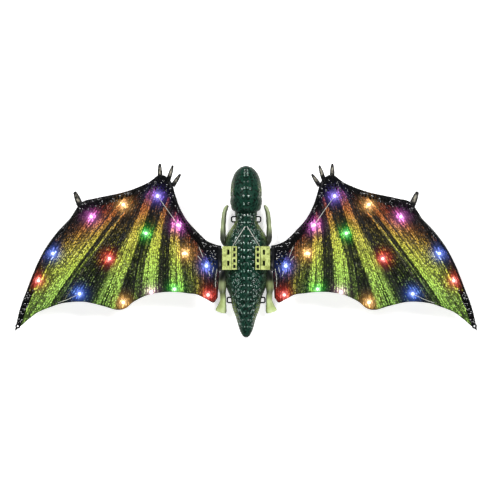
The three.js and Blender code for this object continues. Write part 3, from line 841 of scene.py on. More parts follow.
def plates(name, rows, shape, finish, sink=0.25, segments=10, rings=6):
    """A piece made of like plates, one for each row."""
    carrier = bpy.data.meshes.new(name)
    carrier.from_pydata([tuple(c * MM for c in row["place"]) for row in rows], [], [])
    for key in rows[0]:
        if key in ("facing", "along"):
            flat = [c for row in rows for c in row[key]]
            carrier.attributes.new(key, "FLOAT_VECTOR", "POINT").data.foreach_set("vector", flat)
        elif key != "place":
            kept = [row[key] for row in rows]
            carrier.attributes.new(key, "FLOAT", "POINT").data.foreach_set("value", kept)
    return grown(
        name,
        raised_plates,
        carrier,
        Width=shape["width"] * MM,
        Length=shape["length"] * MM,
        Height=shape["height"] * MM,
        Keel=shape["keel"],
        Lean=shape["lean"],
        Sink=sink,
        Segments=segments,
        Rings=rings,
        Finish=finish,
    )


def dome_top(half, crest, x, y):
    """The place and facing of a point on a dome, seen from above."""

    def height(at_x, at_y):
        share = min(1.0, abs(at_x) / half(at_y))
        return RIM_Z + (crest(at_y) - RIM_Z) * (1 - share**DOME_POWER) ** (1 / DOME_POWER)

    near = SLOPE_REACH
    slope_x = (height(x + near, y) - height(x - near, y)) / (2 * near)
    slope_y = (height(x, y + near) - height(x, y - near)) / (2 * near)
    return Vector((x, y, height(x, y))), Vector((-slope_x, -slope_y, 1)).normalized()


scute_draw = random.Random(3)


def tilted(facing):
    """A scute's facing, a little off the dome's, as no two stand quite alike."""
    off = [scute_draw.uniform(-SCUTE_TILT, SCUTE_TILT) for _ in range(3)]
    return (facing + Vector(off)).normalized()


def scute_rows(layout, half, crest, lift):
    rows = []
    for row in layout:
        count = int((row["last"] - row["first"]) / SCUTE_PITCH)
        for i in range(count + 1):
            y = row["first"] + (i + row["shift"]) * SCUTE_PITCH
            room = min(1.0, half(y) / CROWDED["half"])
            x = row["across"] * (CROWDED["across"] + (1 - CROWDED["across"]) * room)
            under_bracket = x > BRACKET_CLEAR["inner"] and abs(y) < BRACKET_CLEAR["half_length"]
            if x > SCUTE_REACH * half(y) or under_bracket:
                continue
            for right in (-1, 1):
                place, facing = dome_top(half, crest, right * x, y)
                spread = Vector((-right * SCUTE_FAN * row["across"], 1, 0)).normalized()
                size = row["size"] * (CROWDED["size"] + (1 - CROWDED["size"]) * room)
                rows.append(plate(place + facing * lift, tilted(facing), spread, size))
    return rows


scute_finish, tree, shader = new_finish(
    "scute_finish", IOR=1.3, Coat_Weight=1.0, Coat_Roughness=0.2, Coat_IOR=1.9
)
# Paler crest: brushed paint that is also a painted highlight.
brushed_highlight_share = between(tree, painted(tree, "tip"), *SCUTE_BRUSHED_HIGHLIGHT_FROM)
scute_light = mixed(tree, brushed_highlight_share, sprayed(BODY_COLOUR), sprayed(SCUTE_BRUSHED_HIGHLIGHT_COLOUR))
scute_dark = mixed(tree, brushed_highlight_share, sprayed(BODY_LOW_COLOUR), sprayed(SCUTE_LOW_BRUSHED_HIGHLIGHT_COLOUR))
moulded(tree, shader, scute_light, scute_dark, roughness=0.2, cloud=0.006)
body_scute_rows = scute_rows(SCUTE_ROWS, body_half, body_crest, SCUTE_LIFT["body"])
for i in range(int((TAIL_EDGE["last"] - TAIL_EDGE["first"]) / TAIL_EDGE["pitch"]) + 1):
    y = TAIL_EDGE["first"] + i * TAIL_EDGE["pitch"]
    for right in (-1, 1):
        place, facing = dome_top(body_half, body_crest, right * TAIL_EDGE["share"] * body_half(y), y)
        lifted = place + facing * SCUTE_LIFT["body"]
        body_scute_rows.append(plate(lifted, facing, STRAIGHT, TAIL_EDGE["size"]))
for field in SMALL_SCALE_FIELDS:
    for i in range(field["count"]):
        x, y = scute_draw.uniform(*field["across"]), scute_draw.uniform(*field["y"])
        if x > SMALL_SCALE_REACH * body_half(y):
            continue
        for right in (-1, 1):
            place, facing = dome_top(body_half, body_crest, right * x, y)
            lifted = place + facing * SCUTE_LIFT["small"]
            leant = tilted(facing)
            size = scute_draw.uniform(*SMALL_SCALE_SIZES)
            body_scute_rows.append(plate(lifted, leant, STRAIGHT, size))
head_scute_rows = []
for row in HEAD_SCUTES:
    for right in (-1, 1):
        place, facing = dome_top(head_half, head_crest, right * row["across"], row["y"])
        lifted = place + facing * SCUTE_LIFT["head"]
        leant = tilted(facing)
        size = row["size"] * scute_draw.uniform(*HEAD_SCUTE_SPREAD)
        head_scute_rows.append(plate(lifted, leant, STRAIGHT, size))
for name, rows in (("body_scutes", body_scute_rows), ("head_scutes", head_scute_rows)):
    scutes = plates(name, rows, SCUTE, scute_finish)
    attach(scutes, "body")

# The arms and legs: solid mouldings plugged into the body's flanks, in light green with painted shade where
# they meet the body, underneath and on their inner sides. The hands end in a bent finger and the feet
# spread into three toes.
ARM_SECTIONS = chart(
    "x y z wide deep",
    (33.0, 22, 19, 4.6, 5.6),
    (36.8, 30, 19.5, 5.2, 6.2),
    (37.4, 42, 19.5, 4.6, 5.4),
    (36.6, 58, 18.5, 4.0, 4.6),
    (35.2, 72, 17, 3.7, 4.0),
    (32.6, 80, 16, 3.3, 3.4),
    (29.6, 85.5, 15.4, 1.7, 1.9),
)
LEG_SECTIONS = chart(
    "x y z wide deep",
    (31.6, -21, 16.5, 8.6, 8.0),
    (36.8, -32, 15.6, 8.4, 8.6),
    (38.6, -46, 14.5, 6.6, 7.4),
    (38.0, -57, 13.8, 5.4, 6.2),
    (37.4, -68, 13.0, 5.2, 5.8),
    (38.6, -76, 12.4, 6.8, 5.8),
    (39.9, -82, 11.8, 8.4, 5.4),
    (41.0, -86.4, 11.2, 9.1, 4.4),
    (41.5, -88.2, 10.8, 6.8, 2.4),
)
# Creases and knuckles along a limb: where, how long and how far they swell or pinch it.
ARM_CREASES = chart("share length rise", (0.45, 0.035, -0.07), (0.52, 0.05, 0.05), (0.74, 0.03, -0.08))
LEG_CREASES = chart("share length rise", (0.3, 0.05, 0.06), (0.38, 0.03, -0.08), (0.58, 0.03, -0.07))
TOE_GAPS = (-0.35, 0.35)
LIMB_STEPS = 9
LIMB_SIDES = 28
LIMB_COLOUR = "dceeac"
LIMB_LOW_COLOUR = "c2d886"
# The dark colours of the painted shade on the limbs.
LIMB_SHADE_COLOUR = "262f1e"
LIMB_LOW_SHADE_COLOUR = "151a10"
# How dark an arm and a leg are along their length; near the body this is painted shade.
ARM_SHADE_ALONG = chart(
    "y dark",
    (22, 1.0),
    (38, 0.95),
    (50, 0.62),
    (62, 0.74),
    (79, 0.64),
    (86, 0.7),
)
LEG_SHADE_ALONG = chart(
    "y dark",
    (-92, 0.0),
    (-70, 0.04),
    (-62, 0.5),
    (-55, 0.84),
    (-47, 0.5),
    (-41, 0.5),
    (-35, 0.95),
    (-22, 1.0),
)
# Painted shade on a limb's underside and inner side: the darkest share, and where it sets in from top to
# bottom.
SIDE_SHADE = 0.93
UNDER_SHADE = (0.15, 0.7)
# From where to where the painted shade sets in across a limb, from its outer to its inner side.
INNER_SHADE = {"arm": (0.22, 0.7), "leg": (0.74, 1.0)}


def skin_over(rings):
    """Points and faces of a closed skin over rings that run anticlockwise about the way they follow."""
    sides = len(rings[0])
    points = [p for ring in rings for p in ring]
    faces = []
    for r in range(len(rings) - 1):
        for s in range(sides):
            a, b = r * sides + s, r * sides + (s + 1) % sides
            faces.append((a, b, b + sides, a + sides))
    for ring, first, ahead in ((rings[0], 0, False), (rings[-1], (len(rings) - 1) * sides, True)):
        points.append(sum(ring, Vector((0, 0, 0))) / sides)
        for s in range(sides):
            a, b = first + s, first + (s + 1) % sides
            faces.append((a, b, len(points) - 1) if ahead else (b, a, len(points) - 1))
    return points, faces


def on_side(points, faces, right):
    """The piece itself on the right side, its mirror image on the left."""
    if right > 0:
        return points, faces
    return [Vector((-p[0], p[1], p[2])) for p in points], [tuple(reversed(f)) for f in faces]


def limb_rings(sections, relief):
    count = len(sections) - 1
    column = {
        key: curve_through(list(range(count + 1)), [row[key] for row in sections])
        for key in ("x", "y", "z", "wide", "deep")
    }
    rings = []
    for i in range(count * LIMB_STEPS + 1):
        t = i / LIMB_STEPS
        behind, middle, ahead = [
            Vector([column[key](at) for key in "xyz"]) for at in (t - 0.05, t, t + 0.05)
        ]
        along = (ahead - behind).normalized()
        across = Vector((along.y, -along.x, 0)).normalized()
        up = along.cross(across).normalized()
        ring = []
        for s in range(LIMB_SIDES):
            angle = 2 * math.pi * s / LIMB_SIDES
            swell = 1 + relief(t / count, angle)
            wide = column["wide"](t) * swell * math.cos(angle)
            deep = column["deep"](t) * swell * math.sin(angle)
            ring.append(middle + across * wide + up * deep)
        rings.append(ring)
    return rings


def creased(creases, share):
    return sum(row["rise"] * bell(share - row["share"], row["length"]) for row in creases)


def arm_relief(share, angle):
    finger = -0.14 * bell(math.sin(angle) + 1, 0.25) * step(share, 0.8, 0.86)
    ripple = 0.018 * math.sin(40 * share + 3 * math.sin(angle))
    return creased(ARM_CREASES, share) + finger + ripple


def leg_relief(share, angle):
    toes = sum(-0.17 * bell(math.cos(angle) - gap, 0.13) for gap in TOE_GAPS) * step(share, 0.72, 0.84)
    ripple = 0.016 * math.sin(34 * share + 2 * math.sin(2 * angle))
    return creased(LEG_CREASES, share) + toes + ripple


limb_finish, tree, shader = new_finish("limb_finish", Coat_Weight=0.2, Coat_Roughness=0.2)
# The root value is painted shade: near the body, underneath and on the inner side.
limb_light = mixed(tree, painted(tree, "root"), sprayed(LIMB_COLOUR), sprayed(LIMB_SHADE_COLOUR))
limb_dark = mixed(tree, painted(tree, "root"), sprayed(LIMB_LOW_COLOUR), sprayed(LIMB_LOW_SHADE_COLOUR))
moulded(tree, shader, limb_light, limb_dark, roughness=0.4, cloud=0.014)
for kind, sections, relief, spray in (
    ("arm", ARM_SECTIONS, arm_relief, ARM_SHADE_ALONG),
    ("leg", LEG_SECTIONS, leg_relief, LEG_SHADE_ALONG),
):
    rings = limb_rings(sections, relief)
    limb_points, limb_faces = skin_over(rings)
    # The painted shade of each ring, from the chart along the limb and from its underside and inner side.
    dark_at = curve_through([row["y"] for row in spray], [row["dark"] for row in spray])
    limb_shades = []
    for ring in rings:
        outer = max(p.x for p in ring)
        inner = min(p.x for p in ring)
        top = max(p.z for p in ring)
        low = min(p.z for p in ring)
        for p in ring:
            under = step((top - p.z) / (top - low), *UNDER_SHADE)
            inwards = step((outer - p.x) / (outer - inner), *INNER_SHADE[kind])
            limb_shades.append(max(dark_at(p.y), SIDE_SHADE * max(under, inwards)))
    limb_shades += [1.0, SIDE_SHADE / 2]
    for side, right in SIDES:
        limb = new_piece(f"{kind}_{side}_moulding", *on_side(limb_points, limb_faces, right), limb_finish)
        paint(limb, "root", limb_shades)
        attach(limb, "body")
        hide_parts(f"{kind}_{side}")

# The wing brackets and rails: pale lime mouldings with sharp windows, seated on the shoulders. A bracket
# holds the wing's root between two leaves, and its rail stands against the spine. Both have softened edges.
BRACKET_COLOUR = "bfca7c"
BRACKET_LOW_COLOUR = "858f46"
# Painted shade in the brackets' windows and in the slot for the wing.
POCKET_SHADE_COLOUR = "1c2110"
POCKET_LOW_SHADE_COLOUR = "0c0f08"
RIVET_COLOUR = "8f9a4c"
RIVET_LOW_COLOUR = "4c5228"
BRACKET_EDGE = 0.35
BEVEL_FROM_Z = 40
RIVET = {"width": 0.95, "length": 0.95, "height": 0.55, "keel": 0.0, "lean": 0.0}
RIVET_PLACES = ((35.4, 6.4), (35.4, -6.4), (35.4, 15.6), (35.4, -15.6))
BRACKET_TOP = 53
UPRIGHT = (0, 0, 1)
WINDOW_ROWS = chart(
    "kind inner outer half_length ys rim",
    ("wing_bracket", 26.9, 30.5, 4.1, (9.4, -8.4), 53),
    ("bracket_rail", 17.0, 20.8, 2.8, (14, 4.8, -4.4, -13.6), 52),
)
WINDOWS = {row["kind"]: row for row in WINDOW_ROWS}
SLOT = {"inner": 26.1, "low": 43.5, "high": 49.5}
POCKET_EASE = 0.05
POCKET_LIP = 0.3
SHARP_DEGREES = 50


def in_pocket(kind, place):
    """Whether a face lies in a bracket's windows or in the slot for the wing."""
    x, y, z = abs(place.x) / MM, place.y / MM, place.z / MM
    window = WINDOWS[kind]
    across = window["inner"] - POCKET_EASE < x < window["outer"] + POCKET_EASE
    down = any(abs(y - middle) < window["half_length"] + POCKET_EASE for middle in window["ys"])
    slot = kind == "wing_bracket" and x > SLOT["inner"] and SLOT["low"] < z < SLOT["high"]
    return slot or (across and down and z < window["rim"] - POCKET_LIP)


def softened(name, kind, node, finishes):
    """A copy of a bracket's solid with its upper edges rounded over and its pockets darkened with painted
    shade.
    """
    copy = bmesh.new()
    copy.from_mesh(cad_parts[node].data)
    bmesh.ops.remove_doubles(copy, verts=copy.verts, dist=1e-6)
    bmesh.ops.dissolve_limit(copy, angle_limit=math.radians(1), verts=copy.verts, edges=copy.edges)
    sharp = [
        e
        for e in copy.edges
        if len(e.link_faces) == 2
        and e.calc_face_angle() > math.radians(SHARP_DEGREES)
        and all(v.co.z > BEVEL_FROM_Z * MM for v in e.verts)
    ]
    bmesh.ops.bevel(
        copy,
        geom=sharp,
        offset=BRACKET_EDGE * MM,
        offset_type="OFFSET",
        segments=2,
        profile=0.5,
        affect="EDGES",
        clamp_overlap=True,
    )
    bmesh.ops.triangulate(copy, faces=[f for f in copy.faces if len(f.verts) > 4])
    # Faces in the windows and the slot get the painted shade.
    for face in copy.faces:
        face.material_index = int(in_pocket(kind, face.calc_center_median()))
    mesh = bpy.data.meshes.new(name)
    copy.to_mesh(mesh)
    copy.free()
    for finish in finishes:
        mesh.materials.append(finish)
    return in_scene(name, mesh)


bracket_finish = moulded_finish(
    "bracket_finish", BRACKET_COLOUR, BRACKET_LOW_COLOUR, roughness=0.42, cloud=0.005, grain=0.0008
)
pocket_shade_finish = moulded_finish("pocket_shade_finish", POCKET_SHADE_COLOUR, POCKET_LOW_SHADE_COLOUR, roughness=0.6, cloud=0.003)
rivet_finish = moulded_finish("rivet_finish", RIVET_COLOUR, RIVET_LOW_COLOUR, roughness=0.45, cloud=0.002)
for side, right in SIDES:
    for kind in ("wing_bracket", "bracket_rail"):
        finishes = (bracket_finish, pocket_shade_finish)
        block = softened(f"{kind}_{side}_moulding", kind, f"{kind}_{side}", finishes)
        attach(block, "body")
        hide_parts(f"{kind}_{side}")
    rows = [plate((right * x, y, BRACKET_TOP), UPRIGHT, STRAIGHT, 1.0) for x, y in RIVET_PLACES]
    rivets = plates(f"bracket_rivets_{side}", rows, RIVET, rivet_finish)
    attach(rivets, "body")

# The pivot pins: plain steel pins closed in blind between a bracket's two leaves. Hardly any of them
# shows, so the solids stay and only get a brushed steel finish.
STEEL_COLOUR = "c3c5c8"
STEEL_LOW_COLOUR = "94979b"

pin_finish = moulded_finish(
    "pin_finish",
    STEEL_COLOUR,
    STEEL_LOW_COLOUR,
    roughness=0.34,
    cloud=0.002,
    grain=0.0004,
    bump=0.00003,
    Metallic=1.0,
)
for side, _ in SIDES:
    refinish(f"pivot_pin_{side}", pin_finish)

# The strap loops: small eyes of black plastic that stand out from the neck and the hips, bent from a
# flattened bar. The wearer's straps go through them.
STRAP_LOOPS = chart(
    "place root far y z",
    ("neck", 13, 22.4, 62.7, 14),
    ("hip", 20, 29.3, -68.2, 12),
)
LOOP_HOLE_HALF = 3.0
LOOP_BAR = 2.5
LOOP_THICKNESS = 4.0
LOOP_CORNER = 2.4
LOOP_ARC_STEPS = 8
LOOP_COLOUR = "070908"
LOOP_LOW_COLOUR = "040505"
LOOP_SIDES = 16

laid_bar = bpy.data.node_groups.new("laid_bar", "GeometryNodeTree")
group_sockets(
    laid_bar,
    (
        ("Geometry", "Geometry"),
        ("Radius", "Float"),
        ("Depth", "Float"),
        ("Sides", "Int"),
        ("Finish", "Material"),
    ),
    (("Geometry", "Geometry"),),
)
given = add(laid_bar, "NodeGroupInput").outputs
bar_line = add(laid_bar, "GeometryNodeMeshToCurve", {"Mesh": given["Geometry"]})
bar_upright = add(laid_bar, "GeometryNodeSetCurveNormal", {"Curve": bar_line.outputs["Curve"]}, mode="Z_UP")
bar_round = add(
    laid_bar,
    "GeometryNodeCurvePrimitiveCircle",
    {"Resolution": given["Sides"], "Radius": given["Radius"]},
)
bar_flat = add(laid_bar, "ShaderNodeCombineXYZ", {"X": 1.0, "Y": given["Depth"], "Z": 1.0})
bar_section = add(
    laid_bar,
    "GeometryNodeTransform",
    {"Geometry": bar_round.outputs["Curve"], "Scale": bar_flat.outputs["Vector"]},
)
bar_girth = add(laid_bar, "GeometryNodeInputNamedAttribute", {"Name": "girth"}, data_type="FLOAT")
bar_skin = add(
    laid_bar,
    "GeometryNodeCurveToMesh",
    {
        "Curve": bar_upright.outputs["Curve"],
        "Profile Curve": bar_section.outputs["Geometry"],
        "Scale": bar_girth.outputs["Attribute"],
        "Fill Caps": True,
    },
)
end_in_finish(laid_bar, bar_skin.outputs["Mesh"], given["Finish"])


def bars(name, lines, right, radius, sides, finish, depth=1.0):
    """A piece made of bars or wires, each along a line of points with its girth at each."""
    carrier = bpy.data.meshes.new(name)
    points, edges, girths = [], [], []
    for line in lines:
        for i, (point, girth) in enumerate(line):
            if i:
                edges.append((len(points) - 1, len(points)))
            points.append((right * point[0] * MM, point[1] * MM, point[2] * MM))
            girths.append(girth)
    carrier.from_pydata(points, edges, [])
    carrier.attributes.new("girth", "FLOAT", "POINT").data.foreach_set("value", girths)
    sizes = {"Radius": radius * MM, "Depth": depth, "Sides": sides}
    return grown(name, laid_bar, carrier, Finish=finish, **sizes)


def loop_line(root, far, y, z):
    """The middle line of a loop's bar: out from the flank, round two corners and back."""
    out = far + LOOP_BAR / 2
    half = LOOP_HOLE_HALF + LOOP_BAR / 2
    line = [(root, y - half)]
    for turn, corner_y in ((-1, y - half + LOOP_CORNER), (1, y + half - LOOP_CORNER)):
        for k in range(LOOP_ARC_STEPS + 1):
            angle = math.pi / 2 * (k / LOOP_ARC_STEPS if turn > 0 else k / LOOP_ARC_STEPS - 1)
            corner_x = out - LOOP_CORNER
            line.append(
                (corner_x + LOOP_CORNER * math.cos(angle), corner_y + LOOP_CORNER * math.sin(angle))
            )
    line.append((root, y + half))
    return [((x, at_y, z), 1.0) for x, at_y in line]


loop_finish = moulded_finish(
    "loop_finish", LOOP_COLOUR, LOOP_LOW_COLOUR, roughness=0.4, cloud=0.004, IOR=1.08
)
for side, right in SIDES:
    for row in STRAP_LOOPS:
        strap_loop = bars(
            f"strap_loop_{row['place']}_{side}_bar",
            [loop_line(row["root"], row["far"], row["y"], row["z"])],
            right,
            LOOP_BAR / 2,
            LOOP_SIDES,
            loop_finish,
            depth=LOOP_THICKNESS / LOOP_BAR,
        )
        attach(strap_loop, "body")
        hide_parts(f"strap_loop_{row['place']}_{side}")

# The lead wires: two thin pale wires that come out at the nape and run over the shoulders to the rails, lying
# on the scutes all the way.
LEAD_WIRE = {"radius": 0.5, "nape_x": 1.6, "nape_y": 51, "end_x": 21.6, "end_y": 19.25}
SCUTE_RISE = 1.8
LEAD_STEPS = 24
WIRE_COLOUR = "d2d5cb"
WIRE_LOW_COLOUR = "a3a69b"
WIRE_SIDES = 10

wire_finish = moulded_finish(
    "wire_finish",
    WIRE_COLOUR,
    WIRE_LOW_COLOUR,
    roughness=0.4,
    cloud=0.003,
    grain=0.0005,
    bump=0.00003,
    Coat_Weight=0.3,
    Coat_Roughness=0.2,
)
lead_line = []
for i in range(LEAD_STEPS + 1):
    share = i / LEAD_STEPS
    x = LEAD_WIRE["nape_x"] + (LEAD_WIRE["end_x"] - LEAD_WIRE["nape_x"]) * share
    y = LEAD_WIRE["nape_y"] + (LEAD_WIRE["end_y"] - LEAD_WIRE["nape_y"]) * share
    top, _ = dome_top(body_half, body_crest, x, y)
    lead_line.append(((x, y, top.z + SCUTE_RISE + LEAD_WIRE["radius"]), 1.0))
for side, right in SIDES:
    name = f"lead_wire_{side}_run"
    lead_wire = bars(name, [lead_line], right, LEAD_WIRE["radius"], WIRE_SIDES, wire_finish)
    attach(lead_wire, "body")
    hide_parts(f"lead_wire_{side}")

# The wings: each is one sheet of supple plastic, stiff enough to hold its folds, with a thick scaly limb
# along its leading edge. The folds fan out from the wrist, and each ridge is airbrushed from orange to
# green over black.
WING_Z = 46.5
SHEET = 1.8
TIP_DROOP = 14
DROOP_START = 60
HALF_SPAN = 373.4
LONGEST_BAND_SHARE = 0.55
WING_RAYS = chart(
    "lead trail band thick rise bow",
    ((39.8, 20), (45.6, -64), 42, 5.0, 0, 0),
    ((50, 22), (52.5, -71.8), 38, 5.0, 0, 0),
    ((64, 28.5), (64, -66.2), 24, 5.6, 0.3, 0),
    ((80, 44), (79, -59), 18, 6.2, 0.5, 0),
    ((96, 62), (94, -57), 16, 6.4, -0.8, 2),
    ((107.5, 83), (111, -55), 15, 6.6, 2.2, 4),
    ((114, 102), (134, -55.2), 15, 6.8, -1.4, 8),
    ((120, 122), (159, -60), 18, 7.0, 2.2, 9),
    ((129, 131.5), (181, -70.5), 20, 7.2, -1.7, 8),
    ((137.5, 134), (194, -81), 21, 7.2, -1.2, 5),
    ((144, 131.8), (209, -83.4), 19, 7.0, 1.8, 1),
    ((150, 127), (232, -77), 17, 6.6, 2.0, -1),
    ((157, 122), (262, -70.8), 16, 6.4, -1.6, 0),
    ((164, 118.5), (293, -72.5), 16, 6.2, 0.4, 2),
    ((172, 115), (314, -78.8), 16, 6.0, -1.0, 4),
    ((184, 110.3), (335, -87.3), 17, 5.8, 2.4, 3),
    ((206, 104), (350, -98.2), 18, 5.6, 1.4, 3),
    ((240, 97), (358.5, -105.5), 21, 5.6, 0.6, 5),
    ((266, 89.5), (363.5, -109.8), 28, 5.8, 0.4, 6),
    ((281, 67), (366.8, -112.6), 28, 5.0, 0.4, 6),
    ((307, 39), (369.3, -114.6), 26, 4.4, 0.3, 5),
    ((330, 5), (371, -116), 26, 4.0, 0.2, 4),
    ((349, -40), (372.2, -117), 24, 3.6, 0, 2),
    ((364, -78), (373, -117.8), 16, 3.2, 0, 0),
    ((372.5, -113), (373.4, -118.2), 3, 2.4, 0, 0),
)
LAST_RAY = len(WING_RAYS) - 1
STEPS_PER_RAY = 12
CROWDED_RAY = 18
CROWDED_STEPS = 5
BAND_STEPS = 10
SHEET_STEPS = 62
PLEAT = {"per_ray": 2.0, "depth": 0.28}
# The airbrushed ridges: the rays between which each is light, near the limb and near the trailing edge.
RIDGES = chart(
    "top foot soft light",
    ((1.0, 4.2), (2.0, 4.2), 0.7, 0.2),
    ((4.75, 5.42), (4.42, 5.38), 0.2, 1.1),
    ((6.4, 6.85), (6.33, 7.38), 0.14, 1.6),
    ((7.4, 7.5), (7.6, 7.95), 0.2, 0.28),
    ((9.1, 11.1), (10.2, 11.42), 0.24, 1.35),
    ((12.85, 13.15), (13.6, 13.85), 0.12, 0.6),
    ((14.1, 15.12), (14.2, 15.22), 0.13, 1.4),
    ((15.42, 16.2), (15.36, 16.1), 0.12, 1.25),
    ((16.1, 17.2), (16.0, 18.4), 0.4, 0.6),
)
RIDGE_SPAN = {"top": 0.3, "foot": 0.75}
VALLEY_LIGHT = 0.03
# The airbrushed colour down a ray, from the limb to the trailing edge.
HUES = chart(
    "down colour",
    (0.0, "1c0d0a"),
    (0.14, "8a3a20"),
    (0.25, "cc7c40"),
    (0.36, "d8b04a"),
    (0.47, "e0da5a"),
    (0.62, "d2e65c"),
    (0.8, "bee868"),
    (1.0, "94c458"),
)
# At the root the colour stays near the red end of the fade, up to these rays.
ROOT_HUE = {"share": 0.24, "rays": (1.4, 4.6)}
FINE_STREAK = (8.0, 1.6)
STREAK_EDGES = (0.36, 0.64)
STREAK_LIGHT = (0.1, 1.35)
FLECK_EDGES = (0.62, 0.1)
FLECK = {"size": 0.0024, "share": 0.2, "sparkle": 1.1, "ground": 0.2, "glint": 0.7, "glow_ground": 0.6}
VALLEY_COLOUR = "070a0b"
LIMB_BLACK = "060708"
# Where the limb's scales spread over the whole tip: from this ray and this far down.
SCALY_TIP = {"ray": (17.9, 18.7), "y": (-44, -60)}
LIMB_FADE = (-3.0, 2.0)

wing_table = {
    f"{end}_{axis}": [row[end][i] for row in WING_RAYS]
    for end in ("lead", "trail")
    for i, axis in enumerate("xy")
}
for key in ("band", "thick", "rise", "bow"):
    wing_table[key] = [row[key] for row in WING_RAYS]
ray_numbers = list(range(LAST_RAY + 1))
wing_column = {key: curve_through(ray_numbers, values) for key, values in wing_table.items()}


def droop(x):
    return -TIP_DROOP * (max(0.0, x - DROOP_START) / (HALF_SPAN - DROOP_START)) ** 2


def wing_ray(u):
    """One ray of the wing: its ends, its bow outwards and the limb's share of it."""
    at = {key: column(u) for key, column in wing_column.items()}
    lead = Vector((at["lead_x"], at["lead_y"]))
    trail = Vector((at["trail_x"], at["trail_y"]))
    length = (trail - lead).length
    outwards = Vector((lead.y - trail.y, trail.x - lead.x)).normalized()
    band = min(at["band"], LONGEST_BAND_SHARE * length) / length
    return {**at, "lead": lead, "trail": trail, "outwards": outwards, "band": band, "length": length}


def ray_point(row, u, v):
    """The upper and lower face of the wing at a share v down a ray."""
    flat = row["lead"].lerp(row["trail"], v) + row["outwards"] * (4 * v * (1 - v) * row["bow"])
    in_band = min(1.0, v / row["band"])
    in_sheet = max(0.0, (v - row["band"]) / (1 - row["band"]))
    bulge = (row["thick"] - SHEET) * math.sin(math.pi * in_band)
    spread = math.sin(math.pi / 2 * min(1.0, 2 * in_sheet))
    pleat = PLEAT["depth"] * math.sin(2 * math.pi * PLEAT["per_ray"] * u)
    pleat *= spread * step(CROWDED_RAY - u, 0, 2)
    middle = WING_Z + droop(flat.x) + row["rise"] * spread + pleat
    half = (SHEET + bulge) / 2
    return Vector((flat.x, flat.y, middle + half)), Vector((flat.x, flat.y, middle - half))


wing_us = [i / STEPS_PER_RAY for i in range(CROWDED_RAY * STEPS_PER_RAY)]
wing_us += [CROWDED_RAY + i / CROWDED_STEPS for i in range((LAST_RAY - CROWDED_RAY) * CROWDED_STEPS + 1)]
wing_tops, wing_lows, wing_down, wing_on_limb = [], [], [], []
for u in wing_us:
    row = wing_ray(u)
    places = [row["band"] * k / BAND_STEPS for k in range(BAND_STEPS)]
    places += [row["band"] + (1 - row["band"]) * k / SHEET_STEPS for k in range(SHEET_STEPS + 1)]
    for v in places:
        top, low = ray_point(row, u, v)
        wing_tops.append(top)
        wing_lows.append(low)
        wing_down.append(v)
        past_limb = (v - row["band"]) * row["length"]
        at_tip = step(u, *SCALY_TIP["ray"]) * step(-top.y, *[-y for y in SCALY_TIP["y"]])
        wing_on_limb.append(max(1 - step(past_limb, *LIMB_FADE), at_tip))
wing_rows = BAND_STEPS + SHEET_STEPS + 1
wing_columns = len(wing_us)
wing_ray_of = [u for u in wing_us for _ in range(wing_rows)]

wing_points = wing_tops + wing_lows
wing_faces = []
under = len(wing_tops)
for i in range(wing_columns - 1):
    for j in range(wing_rows - 1):
        a, b = i * wing_rows + j, (i + 1) * wing_rows + j
        wing_faces.append((a, a + 1, b + 1, b))
top_face_count = len(wing_faces)
for i in range(wing_columns - 1):
    for j in range(wing_rows - 1):
        a, b = under + i * wing_rows + j, under + (i + 1) * wing_rows + j
        wing_faces.append((a, b, b + 1, a + 1))
    a, b = i * wing_rows, (i + 1) * wing_rows
    wing_faces.append((a, b, under + b, under + a))
    a, b = a + wing_rows - 1, b + wing_rows - 1
    wing_faces.append((under + a, under + b, b, a))
for j in range(wing_rows - 1):
    a = (wing_columns - 1) * wing_rows + j
    wing_faces.append((j, under + j, under + j + 1, j + 1))
    wing_faces.append((a, a + 1, under + a + 1, under + a))

# Where each lamp stands, its colour, and how strongly its painted glow shows on the sheet.
LAMPS = chart(
    "at colour glow",
    ((142.5, 99.8), "violet", 1.0),
    ((197.7, 86.1), "amber", 0.95),
    ((249.4, 66.3), "magenta", 0.82),
    ((109.6, 53), "magenta", 1.0),
    ((161.2, 39.8), "green", 0.85),
    ((311.4, 7.2), "blue", 1.0),
    ((98.5, 7.6), "amber", 0.85),
    ((220.1, -1.1), "red", 1.0),
    ((334.9, -36.7), "red", 0.9),
    ((268.5, -57.8), "blue", 1.0),
    ((197.7, -71.5), "amber", 1.0),
    ((152.8, -54.8), "pink", 0.5),
    ((114.8, -50), "green", 0.8),
    ((63.8, -12.9), "blue", 0.8),
    ((61.3, -59.4), "red", 0.85),
)
LAMP_CLEAR = 3.6
LAMP_COLOURS = {
    "violet": "8a70ff",
    "amber": "ffbc60",
    "magenta": "e264da",
    "green": "28d23c",
    "blue": "4e7cff",
    "red": "ff4032",
    "pink": "f29be0",
}
# The lamps' light on the sheet and its pebbles is a painted glow in their emission: how far and how bright it
# reaches.
GLOW_REACH = 3.2
GLOW = {"near": 6.2, "near_light": 1.15, "far": 12.5, "far_light": 0.42, "white": 4.2, "white_light": 0.6}


def painted_lamp_glow(point):
    """The coloured light that the lamps throw on the sheet at a point, painted in as a glow."""
    total = [0.0, 0.0, 0.0]
    for row in LAMPS:
        away = math.hypot(point[0] - row["at"][0], point[1] - row["at"][1])
        if away > GLOW_REACH * GLOW["far"]:
            continue
        light = GLOW["near_light"] * bell(away, GLOW["near"]) + GLOW["far_light"] * bell(away, GLOW["far"])
        white = GLOW["white_light"] * bell(away, GLOW["white"])
        for c, channel in enumerate(sprayed(LAMP_COLOURS[row["colour"]])[:3]):
            total[c] += row["glow"] * (light * channel + white)
    return (*total, 1.0)


def ridge_light(u, v):
    """How light the airbrushing is at a share v down the ray u."""
    share = min(max((v - RIDGE_SPAN["top"]) / (RIDGE_SPAN["foot"] - RIDGE_SPAN["top"]), -0.3), 1.0)
    light = VALLEY_LIGHT
    for ridge in RIDGES:
        inner, outer = [a + (b - a) * share for a, b in zip(ridge["top"], ridge["foot"])]
        soft = ridge["soft"]
        light = max(light, ridge["light"] * step(u - inner, -soft, soft) * step(outer - u, -soft, soft))
    return light


